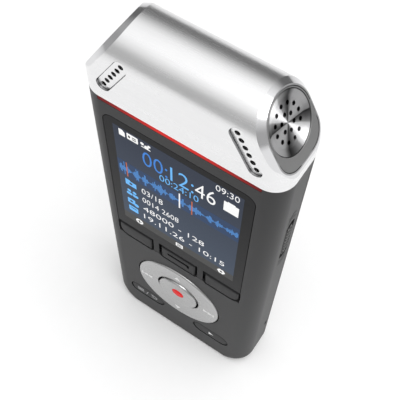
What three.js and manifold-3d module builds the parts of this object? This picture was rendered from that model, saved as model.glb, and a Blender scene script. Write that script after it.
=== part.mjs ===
// Pocket voice recorder: a slim upright body with a display, keys and a steering ring on its
// front, under a metal header whose slanted ends carry round microphone grilles.
// Millimetres, +Z up. The recorder stands on its bottom end, its front faces -Y, and the
// origin is the centre of its footprint on the ground.
import * as THREE from 'three';
import { mergeVertices } from 'three/addons/utils/BufferGeometryUtils.js';
import Module from 'manifold-3d';

// ---- driving dimensions
const WIDTH = 44;
const DEPTH = 14.8;            // front face to back face
const BODY_HEIGHT = 97;        // plastic body, from the ground to the metal header
const CORNER_R = 4.6;          // upright edges of body and header
const BASE_R = 6;              // lower corners, seen from the front
const EDGE_R = 1.5;            // bottom edge, front and back
const WALL = 1.3;
const FRONT_WALL = 2;
const SEAM_DEPTH = DEPTH - 4.5; // where the back cover meets the front cover

const END_TILT = THREE.MathUtils.degToRad(31);  // lean of the header's end faces
const END_INSET = 4.5;         // from the body's side to the centre of an end face
const END_RISE = 10.7;         // from the header's foot to the centre of an end face
const CREST_RISE = 10.5;       // from the header's foot to where its rounded crest starts
const PLATE_RIM = 0.37;        // metal left above an end face's arch
const PLATE_R = DEPTH / 2 - 1; // arch of an end face
const PLATE_DROP = 8.3;        // from its centre to its lower edge
const PLATE_FOOT = 2.1;        // half the straight part of its lower edge
const GRILLE_R = PLATE_R - 0.8;

const WINDOW_SIDE = 4.9;       // body's side to window
const WINDOW_TOP = 4.5;        // header to window
const KEY_TOP = 49.1;          // height of the soft keys' upper edge
const KEY_FOOT = 43.4;
const KEY_SLIT = 0.45;         // between a soft key and the window
const CENTRE_KEY = 9.9;        // width of the middle soft key
const KEY_BRIDGE = 2.55;       // between the middle key and the outer ones
const WINDOW_R = 2.4;
const SCREEN_FOOT = 53.6;
const RING_HEIGHT = 26.95;     // height of the ring's centre
const RING_R = 12.3;
const BUTTON_R = 5.8;          // record button
const PROUD = 0.6;             // record button in front of the body
const PILL_LENGTH = 10.8;      // the two oval buttons under the ring
const PILL_TALL = 5;
const PILL_DROP = 0.35;        // from the ring's foot to their upper edges
const PILL_INSET = 1.2;        // from the window's side, carried down, to their outer ends
const GAP = 0.25;              // round a moving key
const TRAVEL_ROOM = 0.5;       // behind a key post

const KEY_BACK = 2.4;          // depths below the front face
const POST_BACK = 2.9;
const MAT_FRONT = POST_BACK + TRAVEL_ROOM;
const BOARD_FRONT = MAT_FRONT + 0.5;
const BOARD_BACK = BOARD_FRONT + 1;

const SWITCH_DROP = 26.4;       // from the header to the switch's middle
const SWITCH_GRIP = 12;
const SWITCH_TRAVEL = 1.5;

const HALF = WIDTH / 2;
const HEADER_TOP = BODY_HEIGHT + END_RISE + (PLATE_R + PLATE_RIM) * Math.cos(END_TILT);
const WINDOW_HALF = HALF - WINDOW_SIDE;
const POST_X = HALF - 4;
const POST_Z = [9, BODY_HEIGHT - 9];
const PILL_HEIGHT = RING_HEIGHT - RING_R - PILL_DROP - PILL_TALL / 2;
const SWITCH_HEIGHT = BODY_HEIGHT - SWITCH_DROP;
const SWITCH_DEPTH = DEPTH / 2;
const SOCKET_DEPTH = BOARD_BACK + 2.6;
const at = (depth) => depth - DEPTH / 2;

// ---- solids
const wasm = await Module();
wasm.setup();

function solidOf(geometry) {
  const bare = geometry.clone();
  bare.deleteAttribute('normal');
  bare.deleteAttribute('uv');
  const merged = mergeVertices(bare, 1e-4);
  const points = merged.attributes.position.array;
  const corners = [];
  const index = merged.index.array;
  let volume = 0;
  const [a, b, c] = [0, 1, 2].map(() => new THREE.Vector3());
  for (let i = 0; i < index.length; i += 3) {
    const [p, q, r] = index.slice(i, i + 3);
    if (p === q || q === r || r === p) continue;
    corners.push(p, q, r);
    a.fromArray(points, 3 * p);
    b.fromArray(points, 3 * q);
    c.fromArray(points, 3 * r);
    volume += a.dot(b.cross(c));
  }
  const triangles = volume < 0 ? corners.reverse() : corners;
  return new wasm.Manifold(new wasm.Mesh({
    numProp: 3,
    vertProperties: new Float32Array(points),
    triVerts: new Uint32Array(triangles),
  }));
}

function geometryOf(solid) {
  const mesh = solid.getMesh();
  const geometry = new THREE.BufferGeometry();
  geometry.setAttribute('position', new THREE.BufferAttribute(mesh.vertProperties.slice(), 3));
  geometry.setIndex(new THREE.BufferAttribute(mesh.triVerts.slice(), 1));
  geometry.computeVertexNormals();
  return geometry;
}

const joined = (solids) => solids.reduce((all, one) => all.add(one));
const cutBy = (solid, cutters) => cutters.reduce((left, one) => left.subtract(one), solid);

function extruded(shape, from, to, steps) {
  return new THREE.ExtrudeGeometry(shape, { depth: to - from, bevelEnabled: false, curveSegments: steps });
}

// a plan (x, y) carried up from one height to another
function upright(shape, from, to, steps = 8) {
  return solidOf(extruded(shape, from, to, steps).translate(0, 0, from));
}

// a front view (x, z) carried back from one depth to another
function inward(shape, from, to, steps = 8) {
  return solidOf(extruded(shape, from, to, steps).rotateX(Math.PI / 2).translate(0, at(to), 0));
}

// a side view (y, z) carried across from one x to another
function across(shape, from, to, steps = 8) {
  const turn = new THREE.Matrix4().set(0, 0, 1, from, 1, 0, 0, 0, 0, 1, 0, 0, 0, 0, 0, 1);
  return solidOf(extruded(shape, from, to, steps).applyMatrix4(turn));
}

// corner radii: one number, or lower left, lower right, upper right, upper left
function roundedRect(x0, y0, x1, y1, radii = 0) {
  const [ll, lr, ur, ul] = Array.isArray(radii) ? radii : [radii, radii, radii, radii];
  const shape = new THREE.Shape();
  shape.moveTo(x0 + ll, y0);
  shape.lineTo(x1 - lr, y0);
  if (lr > 0) shape.absarc(x1 - lr, y0 + lr, lr, -Math.PI / 2, 0, false);
  shape.lineTo(x1, y1 - ur);
  if (ur > 0) shape.absarc(x1 - ur, y1 - ur, ur, 0, Math.PI / 2, false);
  shape.lineTo(x0 + ul, y1);
  if (ul > 0) shape.absarc(x0 + ul, y1 - ul, ul, Math.PI / 2, Math.PI, false);
  shape.lineTo(x0, y0 + ll);
  if (ll > 0) shape.absarc(x0 + ll, y0 + ll, ll, Math.PI, 1.5 * Math.PI, false);
  return shape;
}

function circle(x, y, r) {
  const shape = new THREE.Shape();
  shape.absarc(x, y, r, 0, 2 * Math.PI, false);
  return shape;
}

const pinIn = (x, z, r, from, to, steps = 20) => inward(circle(x, z, r), from, to, steps);
const block = (x0, x1, d0, d1, z0, z1) => inward(roundedRect(x0, z0, x1, z1), d0, d1);
const pinAcross = (depth, z, r, x0, x1, steps = 20) => across(circle(at(depth), z, r), x0, x1, steps);

// a turned piece whose axis runs straight back; profile holds [radius, depth] pairs
function turned(profile, x, z, steps = 48) {
  const points = profile.map(([r, depth]) => new THREE.Vector2(r, depth));
  return solidOf(new THREE.LatheGeometry(points, steps).translate(x, at(0), z));
}

// ---- shared outlines
// the body's outer form drawn in by inset, up to a given height
function bodyForm(inset, top) {
  const plan = roundedRect(-HALF + inset, at(inset), HALF - inset, at(DEPTH - inset), CORNER_R - inset);
  const front = roundedRect(-HALF + inset, inset, HALF - inset, top, [BASE_R - inset, BASE_R - inset, 0, 0]);
  const edge = Math.max(EDGE_R - inset, 0.2);
  const side = roundedRect(at(inset), inset, at(DEPTH - inset), top, [edge, edge, 0, 0]);
  const steps = inset > 0 ? 3 : 6;
  return upright(plan, inset, top, steps)
    .intersect(inward(front, 0, DEPTH, steps))
    .intersect(across(side, -HALF, HALF, 3));
}

const OUTER_KEY = CENTRE_KEY / 2 + KEY_BRIDGE;  // from the middle line to an outer key
const softKeys = [
  { name: 'soft_key_left', from: -WINDOW_HALF, to: -OUTER_KEY, radii: [2.6, 0.6, 0.6, 0.5] },
  { name: 'soft_key_centre', from: -CENTRE_KEY / 2, to: CENTRE_KEY / 2, radii: 0.6 },
  { name: 'soft_key_right', from: OUTER_KEY, to: WINDOW_HALF, radii: [0.6, 2.6, 0.5, 0.6] },
];
const PILL_X = WINDOW_HALF - PILL_INSET - PILL_LENGTH / 2;
const pills = [
  { name: 'menu_button', centre: -PILL_X },
  { name: 'play_button', centre: PILL_X },
];

const softKeyOutline = (key, grow) =>
  roundedRect(key.from - grow, KEY_FOOT - grow, key.to + grow, KEY_TOP + grow, key.radii);

function pillOutline(pill, grow) {
  const half = PILL_LENGTH / 2 + grow;
  const tall = PILL_TALL / 2 + grow;
  return roundedRect(pill.centre - half, PILL_HEIGHT - tall, pill.centre + half, PILL_HEIGHT + tall, tall);
}

// the display window, with tabs that run down between the soft keys
const WINDOW_FOOT = KEY_FOOT + 0.6;

function displayWindow() {
  const top = BODY_HEIGHT - WINDOW_TOP;
  const notch = KEY_TOP + KEY_SLIT;
  const tab = [CENTRE_KEY / 2 + KEY_SLIT, OUTER_KEY - KEY_SLIT];
  const shape = roundedRect(-WINDOW_HALF, notch, WINDOW_HALF, top, [0, 0, WINDOW_R, WINDOW_R]);
  const tabs = [[-tab[1], -tab[0]], tab].map(([from, to]) =>
    inward(roundedRect(from, WINDOW_FOOT, to, notch), 0, 1));
  return joined([inward(shape, 0, 1, 6), ...tabs]);
}

function windowPocket() {
  const side = WINDOW_HALF + 0.12;
  const r = WINDOW_R + 0.12;
  const top = BODY_HEIGHT - WINDOW_TOP + 0.12;
  return inward(roundedRect(-side, WINDOW_FOOT - 0.12, side, top, [0, 0, r, r]), -1, 1, 6);
}

// ---- plastic body
const JACK_HEIGHTS = [44, 35];

function sideOpenings() {
  const grip = [SWITCH_HEIGHT - SWITCH_GRIP / 2 - SWITCH_TRAVEL - 0.15,
    SWITCH_HEIGHT + SWITCH_GRIP / 2 + SWITCH_TRAVEL + 0.15];
  const inner = HALF - WALL - 1;
  return [
    block(inner, HALF + 1, SWITCH_DEPTH - 1.65, SWITCH_DEPTH + 1.65, grip[0], grip[1]),
    block(inner, HALF + 1, SWITCH_DEPTH + 1.3, SWITCH_DEPTH + 2.3, 16.4, 18.9),
    ...JACK_HEIGHTS.map((z) => pinAcross(SOCKET_DEPTH, z, 2.45, -HALF - 1, -inner, 16)),
    block(-HALF - 1, -inner, BOARD_BACK - 0.1, BOARD_BACK + 2.9, 20.1, 27.9),
  ];
}

function posts(from, to, holeR) {
  const spots = [-POST_X, POST_X].flatMap((x) => POST_Z.map((z) => [x, z]));
  return {
    pillars: spots.map(([x, z]) => pinIn(x, z, 1.9, from, to, 10)),
    holes: spots.map(([x, z]) => pinIn(x, z, holeR, from - 1, to + 1, 8)),
  };
}

const lightBar = (front, back, top) =>
  block(-WINDOW_HALF - 0.6, WINDOW_HALF + 0.6, front, back, BODY_HEIGHT - 1.15, top);

function frontCover() {
  const cavity = bodyForm(WALL, BODY_HEIGHT + 1)
    .intersect(block(-HALF, HALF, FRONT_WALL, DEPTH, 0, BODY_HEIGHT + 1));
  const half = block(-HALF - 1, HALF + 1, -1, SEAM_DEPTH, -1, BODY_HEIGHT + 1);
  const shell = bodyForm(0, BODY_HEIGHT).subtract(cavity).intersect(half);
  const { pillars } = posts(FRONT_WALL - 0.2, SEAM_DEPTH, 0);
  const pilots = posts(FRONT_WALL + 1.6, SEAM_DEPTH, 0.8).holes;
  const screen = roundedRect(-WINDOW_HALF + 1.2, SCREEN_FOOT - 1.5, WINDOW_HALF - 1.2,
    BODY_HEIGHT - WINDOW_TOP - 0.6, 0.5);
  return cutBy(joined([shell, ...pillars]), [
    ...pilots,
    ...sideOpenings(),
    windowPocket(),
    ...softKeys.map((key) => inward(softKeyOutline(key, GAP), -1, FRONT_WALL + 1, 4)),
    ...pills.map((pill) => inward(pillOutline(pill, GAP), -1, FRONT_WALL + 1, 6)),
    inward(screen, 0, FRONT_WALL + 1, 3),
    pinIn(0, RING_HEIGHT, RING_R + GAP, -1, FRONT_WALL + 1, 40),
    lightBar(-1, 1.6, BODY_HEIGHT + 1),
  ]);
}

const SPEAKER_Z = 22;

function speakerHoles() {
  const spots = [[0, 0]];
  for (const [count, r] of [[6, 2.4], [12, 4.8]]) {
    for (let i = 0; i < count; i += 1) {
      const turn = 2 * Math.PI * i / count;
      spots.push([r * Math.cos(turn), r * Math.sin(turn)]);
    }
  }
  return spots.map(([x, z]) => pinIn(x, SPEAKER_Z + z, 0.6, DEPTH - WALL - 1, DEPTH + 1, 6));
}

function rearCover() {
  const half = block(-HALF - 1, HALF + 1, SEAM_DEPTH, DEPTH + 1, -1, BODY_HEIGHT + 1);
  const shell = bodyForm(0, BODY_HEIGHT).subtract(bodyForm(WALL, BODY_HEIGHT + 1)).intersect(half);
  const { pillars, holes } = posts(SEAM_DEPTH, DEPTH - WALL + 0.2, 0.95);
  const heads = posts(DEPTH - WALL + 1, DEPTH, 1.85).holes;
  return cutBy(joined([shell, ...pillars]), [...holes, ...heads, ...speakerHoles(), ...sideOpenings()]);
}

function screwSolid(x, z) {
  const head = DEPTH - WALL;
  const profile = [[0, 5.5], [0.8, 5.5], [0.8, head], [1.7, head], [1.7, head + 0.7], [1.3, head + 1],
    [0, head + 1]];
  const cross = [block(x - 1, x + 1, head + 0.5, head + 2, z - 0.2, z + 0.2),
    block(x - 0.2, x + 0.2, head + 0.5, head + 2, z - 1, z + 1)];
  return cutBy(turned(profile, x, z, 16), cross);
}

// ---- metal header
// an end face's arch outline, drawn with the same number of points at every size
function archPoints(r, drop, corner, n) {
  const points = [];
  for (let i = 0; i <= 18; i += 1) {
    const turn = Math.PI * i / 18;
    points.push(new THREE.Vector3(r * Math.cos(turn), r * Math.sin(turn), n));
  }
  for (const side of [-1, 1]) {
    for (let i = 0; i <= 5; i += 1) {
      const turn = Math.PI / 2 * (side < 0 ? i : 5 - i) / 5;
      const x = side * (r - corner + corner * Math.cos(turn));
      points.push(new THREE.Vector3(x, corner - drop - corner * Math.sin(turn), n));
    }
  }
  return points;
}

// a closed body through a stack of outlines that have equal numbers of points
function lofted(rings) {
  const count = rings[0].length;
  const points = rings.flat();
  const index = [];
  for (let k = 0; k + 1 < rings.length; k += 1) {
    for (let i = 0; i < count; i += 1) {
      const [a, b] = [k * count + i, k * count + (i + 1) % count];
      index.push(a, a + count, b, b, a + count, b + count);
    }
  }
  const last = (rings.length - 1) * count;
  for (let i = 1; i + 1 < count; i += 1) {
    index.push(0, i, i + 1, last, last + i + 1, last + i);
  }
  const geometry = new THREE.BufferGeometry().setFromPoints(points);
  geometry.setIndex(index);
  return solidOf(geometry);
}

const archSolid = (inset, from, to) => lofted([from, to].map((n) =>
  archPoints(PLATE_R - inset, PLATE_DROP - inset, PLATE_R - PLATE_FOOT - inset, n)));

// an end face's own frame: x to the back, y up the slope, z out of the metal
function endFrame(side) {
  const out = new THREE.Vector3(side * Math.cos(END_TILT), 0, Math.sin(END_TILT));
  const back = new THREE.Vector3(0, side, 0);
  const up = new THREE.Vector3().crossVectors(out, back);
  const centre = new THREE.Vector3(side * (HALF - END_INSET), 0, BODY_HEIGHT + END_RISE);
  return new THREE.Matrix4().makeBasis(back, up, out).setPosition(centre);
}

const placed = (solid, matrix) => solidOf(geometryOf(solid).applyMatrix4(matrix));

function crestForm(inset) {
  const half = DEPTH / 2 - inset;
  const foot = BODY_HEIGHT - (inset > 0 ? 1 : 0);
  const shape = new THREE.Shape();
  shape.moveTo(-half, foot);
  shape.lineTo(half, foot);
  shape.lineTo(half, BODY_HEIGHT + CREST_RISE);
  const rise = HEADER_TOP - BODY_HEIGHT - CREST_RISE - inset;
  shape.absellipse(0, BODY_HEIGHT + CREST_RISE, half, rise, 0, Math.PI, false);
  const plan = roundedRect(-HALF + inset, -half, HALF - inset, half, CORNER_R - inset);
  const steps = inset > 0 ? 4 : 6;
  return across(shape, -HALF, HALF, 3 * steps).intersect(upright(plan, foot, HEADER_TOP, steps));
}

// the arch widening inwards: square to the edges at the sides and crest, gently at the foot
const FAR = 60;
const endTaper = () => lofted([
  archPoints(PLATE_R, PLATE_DROP, PLATE_R - PLATE_FOOT, 0),
  archPoints(PLATE_R + FAR, PLATE_DROP + 3.6 * FAR, PLATE_R - PLATE_FOOT + FAR, -FAR),
]);

const END_WALL = 2.3;

function headerShell() {
  const taper = endTaper();
  const inner = solidOf(new THREE.BoxGeometry(200, 200, FAR).translate(0, 0, -END_WALL - FAR / 2));
  let outside = crestForm(0);
  let hollow = crestForm(1.2);
  const cuts = [];
  for (const side of [-1, 1]) {
    const frame = endFrame(side);
    outside = outside.intersect(placed(taper, frame));
    hollow = hollow.intersect(placed(inner, frame));
    cuts.push(placed(archSolid(0.3, -1.25, 1), frame));
    cuts.push(placed(discSolid(GRILLE_R + 0.25, -1.9, -1), frame));
    cuts.push(placed(discSolid(4.3, -END_WALL - 1, -1.5), frame));
    cuts.push(inward(slotOutline(side, 0), -1, 2.2, 6), inward(slotOutline(side, -0.45), 0.95, 2.2, 6));
  }
  return cutBy(outside, [hollow, ...cuts]);
}

function discSolid(r, from, to, steps = 32) {
  const cylinder = new THREE.CylinderGeometry(r, r, to - from, steps);
  return solidOf(cylinder.rotateX(Math.PI / 2).translate(0, 0, (from + to) / 2));
}

function endPlate() {
  return archSolid(0.45, -1, 0).subtract(discSolid(GRILLE_R + 0.15, -2, 1));
}

function ringSpots(count, r) {
  return Array.from({ length: count }, (_, i) => {
    const turn = 2 * Math.PI * i / count;
    return [r * Math.sin(turn), r * Math.cos(turn)];
  });
}

// a turned dish, seen from outside, with its holes
function micGrille() {
  const floor = -0.75;
  const back = -1.6;
  const profile = [[0, back], [GRILLE_R, back], [GRILLE_R, -0.2], [GRILLE_R - 0.12, -0.1],
    [GRILLE_R - 0.25, -0.1], [GRILLE_R - 0.8, floor], [0.3, floor], [0, floor - 0.2]];
  const lathe = new THREE.LatheGeometry(profile.map(([r, n]) => new THREE.Vector2(r, n)), 32);
  const dish = solidOf(lathe.rotateX(Math.PI / 2));
  const holes = [...ringSpots(12, 3.3), ...ringSpots(6, 1.62)].map(([x, y]) =>
    placed(discSolid(0.42, back - 1, floor + 1, 6), new THREE.Matrix4().makeTranslation(x, y, 0)));
  return cutBy(dish, holes);
}

const micBoot = () => discSolid(4.4, -5, -END_WALL - 0.25, 24).subtract(discSolid(3.1, -6, 0, 24));
const micCapsule = () => discSolid(2.95, -4.9, -END_WALL - 0.5, 24);

// the slanted slot beside an end face, and the perforated strip in it
const SLOT_HALF = 4;
const SLOT_R = 1.5;
const slotCentre = (side) => [side * (HALF - 8.25), BODY_HEIGHT + 7.65];

function slotOutline(side, inset) {
  const [x, z] = slotCentre(side);
  const lean = side * END_TILT;
  const r = SLOT_R - inset;
  const end = (sign) => [x - sign * SLOT_HALF * Math.sin(lean), z + sign * SLOT_HALF * Math.cos(lean)];
  const shape = new THREE.Shape();
  shape.absarc(...end(1), r, lean, lean + Math.PI, false);
  shape.absarc(...end(-1), r, lean + Math.PI, lean + 2 * Math.PI, false);
  return shape;
}

function micStrip(side) {
  const [x, z] = slotCentre(side);
  const lean = side * END_TILT;
  const holes = Array.from({ length: 6 }, (_, i) => {
    const along = SLOT_HALF * (i / 2.5 - 1);
    return pinIn(x - along * Math.sin(lean), z + along * Math.cos(lean), 0.45, 0, 3, 8);
  });
  return cutBy(inward(slotOutline(side, -0.35), 0.95, 1.6, 6), holes);
}

// ---- keys
function keyWithPost(outline, x, z, front = 0.05) {
  return inward(outline, front, KEY_BACK, 6).add(pinIn(x, z, 1.2, KEY_BACK - 0.2, POST_BACK, 12));
}

function softKey(key) {
  const x = (key.from + key.to) / 2;
  const z = (KEY_FOOT + KEY_TOP) / 2;
  const solid = keyWithPost(softKeyOutline(key, 0), x, z);
  return key.name.endsWith('centre') ? solid.subtract(block(x - 3, x + 3, -1, 0.55, 44.8, 46.1)) : solid;
}

const navRing = () => turned([[6.3, 0.1], [6.9, -0.2], [11.5, -0.5], [RING_R - 0.2, -0.15], [RING_R, 0.1],
  [RING_R, 1.3], [6.3, 1.3], [6.3, 0.1]], 0, RING_HEIGHT, 40);

const navRocker = () => turned([[6.5, 1.75], [RING_R - 0.5, 1.75], [RING_R - 0.5, 2.35], [6.5, 2.35],
  [6.5, 1.75]], 0, RING_HEIGHT, 32);

const DOT_R = 1.75;
const recordButton = () => turned([[0, -0.1], [DOT_R, -0.1], [DOT_R, -0.4], [3.9, -0.42], [4.6, -PROUD],
  [BUTTON_R - 0.35, -PROUD], [BUTTON_R, -PROUD + 0.3], [BUTTON_R, KEY_BACK], [1.4, KEY_BACK],
  [1.4, POST_BACK], [0, POST_BACK]], 0, RING_HEIGHT, 36);
const recordDot = () => turned([[0, -0.1], [DOT_R, -0.1], [DOT_R, -0.4], [DOT_R - 0.2, -0.5], [0, -0.55]],
  0, RING_HEIGHT, 36);

// ---- side switch: grip in the wall, flange behind it
function sideSwitch() {
  const grip = block(HALF - WALL - 0.9, HALF, SWITCH_DEPTH - 1.45, SWITCH_DEPTH + 1.45,
    SWITCH_HEIGHT - SWITCH_GRIP / 2, SWITCH_HEIGHT + SWITCH_GRIP / 2);
  const long = SWITCH_GRIP / 2 + 2 * SWITCH_TRAVEL + 0.6;
  const flange = block(HALF - WALL - 1.1, HALF - WALL - 0.2, SWITCH_DEPTH - 2.2, SWITCH_DEPTH + 2.2,
    SWITCH_HEIGHT - long, SWITCH_HEIGHT + long);
  const grooves = Array.from({ length: 7 }, (_, i) => {
    const z = SWITCH_HEIGHT + (i - 3) * 1.5;
    return block(HALF - 0.25, HALF + 1, SWITCH_DEPTH - 2, SWITCH_DEPTH + 2, z - 0.3, z + 0.3);
  });
  return cutBy(grip.add(flange), grooves);
}

// ---- sockets
function jackSocket(z) {
  const body = block(-HALF + 2.6, -HALF + 13, BOARD_BACK, BOARD_BACK + 5.2, z - 2.6, z + 2.6);
  const nose = pinAcross(SOCKET_DEPTH, z, 2.3, -HALF + 0.1, -HALF + 3, 16);
  return body.add(nose).subtract(pinAcross(SOCKET_DEPTH, z, 1.75, -HALF - 1, -HALF + 11.5, 16));
}

function usbSocket() {
  const shell = block(-HALF + 0.1, -HALF + 5.8, BOARD_BACK, BOARD_BACK + 2.8, 20.25, 27.75);
  const mouth = block(-HALF - 1, -HALF + 5, BOARD_BACK + 0.3, BOARD_BACK + 2.5, 20.55, 27.45);
  const tongue = block(-HALF + 0.8, -HALF + 5, BOARD_BACK + 1.1, BOARD_BACK + 1.7, 21.8, 26.2);
  return shell.subtract(mouth).add(tongue);
}

// ---- inside
function mainBoard() {
  const outline = roundedRect(-HALF + 2.6, 3.4, HALF - 2.6, BODY_HEIGHT - 3.5, [4, 4, 1, 1]);
  const holes = posts(BOARD_FRONT, BOARD_BACK, 2.1).holes;
  return cutBy(inward(outline, BOARD_FRONT, BOARD_BACK, 5), holes);
}

function speaker() {
  const face = DEPTH - WALL;
  return turned([[0, face - 3.2], [4.6, face - 3.2], [4.6, face - 1.4], [8, face - 1.2], [8, face], [7.2, face],
    [2.4, face - 0.7], [0, face - 0.6]], 0, SPEAKER_Z, 28);
}

// ---- finishes
const finish = (color, roughness, metalness) => ({ color, roughness, metalness });
const ANTHRACITE = finish(0x4a4a4c, 0.55, 0);
const SATIN = finish(0xc9c9cb, 0.3, 1);
const POLISHED = finish(0xd8d8da, 0.15, 1);
const GREY_METAL = finish(0x8c8c8e, 0.5, 0.8);
const BLACK_GLOSS = finish(0x161618, 0.12, 0);
const RUBBER = finish(0x242426, 0.85, 0);
const BLACK_PLASTIC = finish(0x1c1c1e, 0.6, 0);
const GREEN_BOARD = finish(0x1f5a34, 0.5, 0);
const STEEL = finish(0xa8a8aa, 0.35, 1);

const recorder = new THREE.Group();

function addPiece(group, name, solid, look) {
  const mesh = new THREE.Mesh(geometryOf(solid), new THREE.MeshStandardMaterial(look));
  mesh.name = name;
  group.add(mesh);
}

// body
const body = new THREE.Group();
addPiece(body, 'front_cover', frontCover(), ANTHRACITE);
addPiece(body, 'rear_cover', rearCover(), ANTHRACITE);
[-POST_X, POST_X].forEach((x, i) => POST_Z.forEach((z, k) => {
  addPiece(body, `screw_${i ? 'right' : 'left'}_${k ? 'upper' : 'lower'}`, screwSolid(x, z), STEEL);
}));
addPiece(body, 'light_bar', lightBar(0, 1.6, BODY_HEIGHT), finish(0xc01818, 0.2, 0));
addPiece(body, 'display_window', displayWindow(), BLACK_GLOSS);
addPiece(body, 'display_panel', block(-WINDOW_HALF + 1.5, WINDOW_HALF - 1.5, 1.15, BOARD_FRONT,
  SCREEN_FOOT - 1.2, BODY_HEIGHT - WINDOW_TOP - 0.9), finish(0x4a5563, 0.25, 0));
recorder.add(body);

// keys
const keys = new THREE.Group();
for (const key of softKeys) addPiece(keys, key.name, softKey(key), ANTHRACITE);
for (const pill of pills) {
  addPiece(keys, pill.name, keyWithPost(pillOutline(pill, 0), pill.centre, PILL_HEIGHT, 0), ANTHRACITE);
}
addPiece(keys, 'nav_ring', navRing(), SATIN);
addPiece(keys, 'nav_rocker', navRocker(), BLACK_PLASTIC);
addPiece(keys, 'record_button', recordButton(), SATIN);
addPiece(keys, 'record_dot', recordDot(), finish(0xd02020, 0.3, 0));
addPiece(keys, 'side_switch', sideSwitch(), BLACK_PLASTIC);
recorder.add(keys);

// header
const header = new THREE.Group();
addPiece(header, 'header_shell', headerShell(), SATIN);
for (const side of [-1, 1]) {
  const end = new THREE.Group();
  const label = side < 0 ? 'left' : 'right';
  endFrame(side).decompose(end.position, end.quaternion, end.scale);
  addPiece(end, `end_plate_${label}`, endPlate(), GREY_METAL);
  addPiece(end, `mic_grille_${label}`, micGrille(), POLISHED);
  addPiece(end, `mic_boot_${label}`, micBoot(), RUBBER);
  addPiece(end, `mic_capsule_${label}`, micCapsule(), STEEL);
  header.add(end);
  addPiece(header, `mic_strip_${label}`, micStrip(side), POLISHED);
}
recorder.add(header);

// inside
const inside = new THREE.Group();
addPiece(inside, 'main_board', mainBoard(), GREEN_BOARD);
addPiece(inside, 'keypad_mat', block(-WINDOW_HALF + 1.5, WINDOW_HALF - 1.5, MAT_FRONT, BOARD_FRONT,
  7, SCREEN_FOOT - 3), RUBBER);
addPiece(inside, 'processor', block(-1, 7, BOARD_BACK, BOARD_BACK + 1.2, 31, 39), BLACK_PLASTIC);
addPiece(inside, 'memory_chip', block(8.5, 14, BOARD_BACK, BOARD_BACK + 1, 31, 39), BLACK_PLASTIC);
addPiece(inside, 'status_led', block(-1.6, 1.6, BOARD_FRONT - 1, BOARD_FRONT,
  BODY_HEIGHT - 5.1, BODY_HEIGHT - 3.6), finish(0xf0f0e8, 0.4, 0));
addPiece(inside, 'switch_body', block(HALF - 7, HALF - WALL - 1.4, BOARD_BACK, BOARD_BACK + 4.2,
  SWITCH_HEIGHT - 4, SWITCH_HEIGHT + 4), STEEL);
addPiece(inside, 'battery_cell', inward(roundedRect(-HALF + 6.5, SCREEN_FOOT - 3, HALF - 8, BODY_HEIGHT - 7, 1),
  DEPTH - WALL - 4.5, DEPTH - WALL, 3), finish(0x9aa0a6, 0.5, 0.3));
addPiece(inside, 'speaker', speaker(), BLACK_PLASTIC);
addPiece(inside, 'headphone_jack', jackSocket(JACK_HEIGHTS[0]), BLACK_PLASTIC);
addPiece(inside, 'microphone_jack', jackSocket(JACK_HEIGHTS[1]), BLACK_PLASTIC);
addPiece(inside, 'usb_socket', usbSocket(), STEEL);
recorder.add(inside);

// the origin lies midway between the back and the record button, the piece furthest forward
recorder.position.y = PROUD / 2;

export default recorder;
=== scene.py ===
# %% [markdown]
# # A pocket voice recorder
# The recorder stands on its bottom end: a slim anthracite body with a display, keys and a
# silver steering ring, under a metal header whose slanted ends carry turned microphone
# grilles. Its solid parts come from a CAD model that stays fixed. This lesson builds the
# surfaces that are seen, gives each one its finish, and lights the whole.

import math

import bmesh
import bpy
import numpy as np
from mathutils import Matrix, Vector


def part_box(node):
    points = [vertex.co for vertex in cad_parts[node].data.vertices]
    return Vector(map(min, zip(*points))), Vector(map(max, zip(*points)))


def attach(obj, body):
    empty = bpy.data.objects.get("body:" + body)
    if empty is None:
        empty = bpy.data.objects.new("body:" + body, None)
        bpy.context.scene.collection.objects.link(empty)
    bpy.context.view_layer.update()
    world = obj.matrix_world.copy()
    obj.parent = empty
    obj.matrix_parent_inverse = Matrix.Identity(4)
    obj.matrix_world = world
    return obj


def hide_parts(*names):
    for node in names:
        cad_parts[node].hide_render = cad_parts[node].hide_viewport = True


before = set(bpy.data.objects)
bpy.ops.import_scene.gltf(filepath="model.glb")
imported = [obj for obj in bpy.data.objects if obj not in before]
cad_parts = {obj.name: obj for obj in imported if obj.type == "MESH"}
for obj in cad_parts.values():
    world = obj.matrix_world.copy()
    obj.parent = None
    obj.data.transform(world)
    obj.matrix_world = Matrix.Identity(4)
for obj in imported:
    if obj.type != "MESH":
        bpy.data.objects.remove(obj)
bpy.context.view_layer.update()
MM = 0.001

# %% [markdown]
# ## Sizes
# Every place is read from the CAD nodes' boxes, so the visible skins sit exactly on the
# solids. Working in millimetres keeps the numbers readable; they turn into metres only when a
# mesh is made. Depths count from the body's front face towards its back.

# %% Read the sizes
def reach(node):
    """The lowest and highest corner of a CAD node, in millimetres."""
    low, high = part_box(node)
    return np.array(low) / MM, np.array(high) / MM


FRONT = reach("front_cover")[0][1]
HALF, SEAM, BODY_TOP = reach("front_cover")[1]
BACK = reach("rear_cover")[1][1]
MIDDLE = (FRONT + BACK) / 2
HALF_DEPTH = (BACK - FRONT) / 2
HEADER_TOP = reach("header_shell")[1][2]
CORNER_R = 4.6
BASE_R = 6.0
EDGE_R = 1.5
WALL = 1.3
print("body", HALF * 2, "x", round(BACK - FRONT, 2), "x", BODY_TOP, "header to", round(HEADER_TOP, 2))
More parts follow.
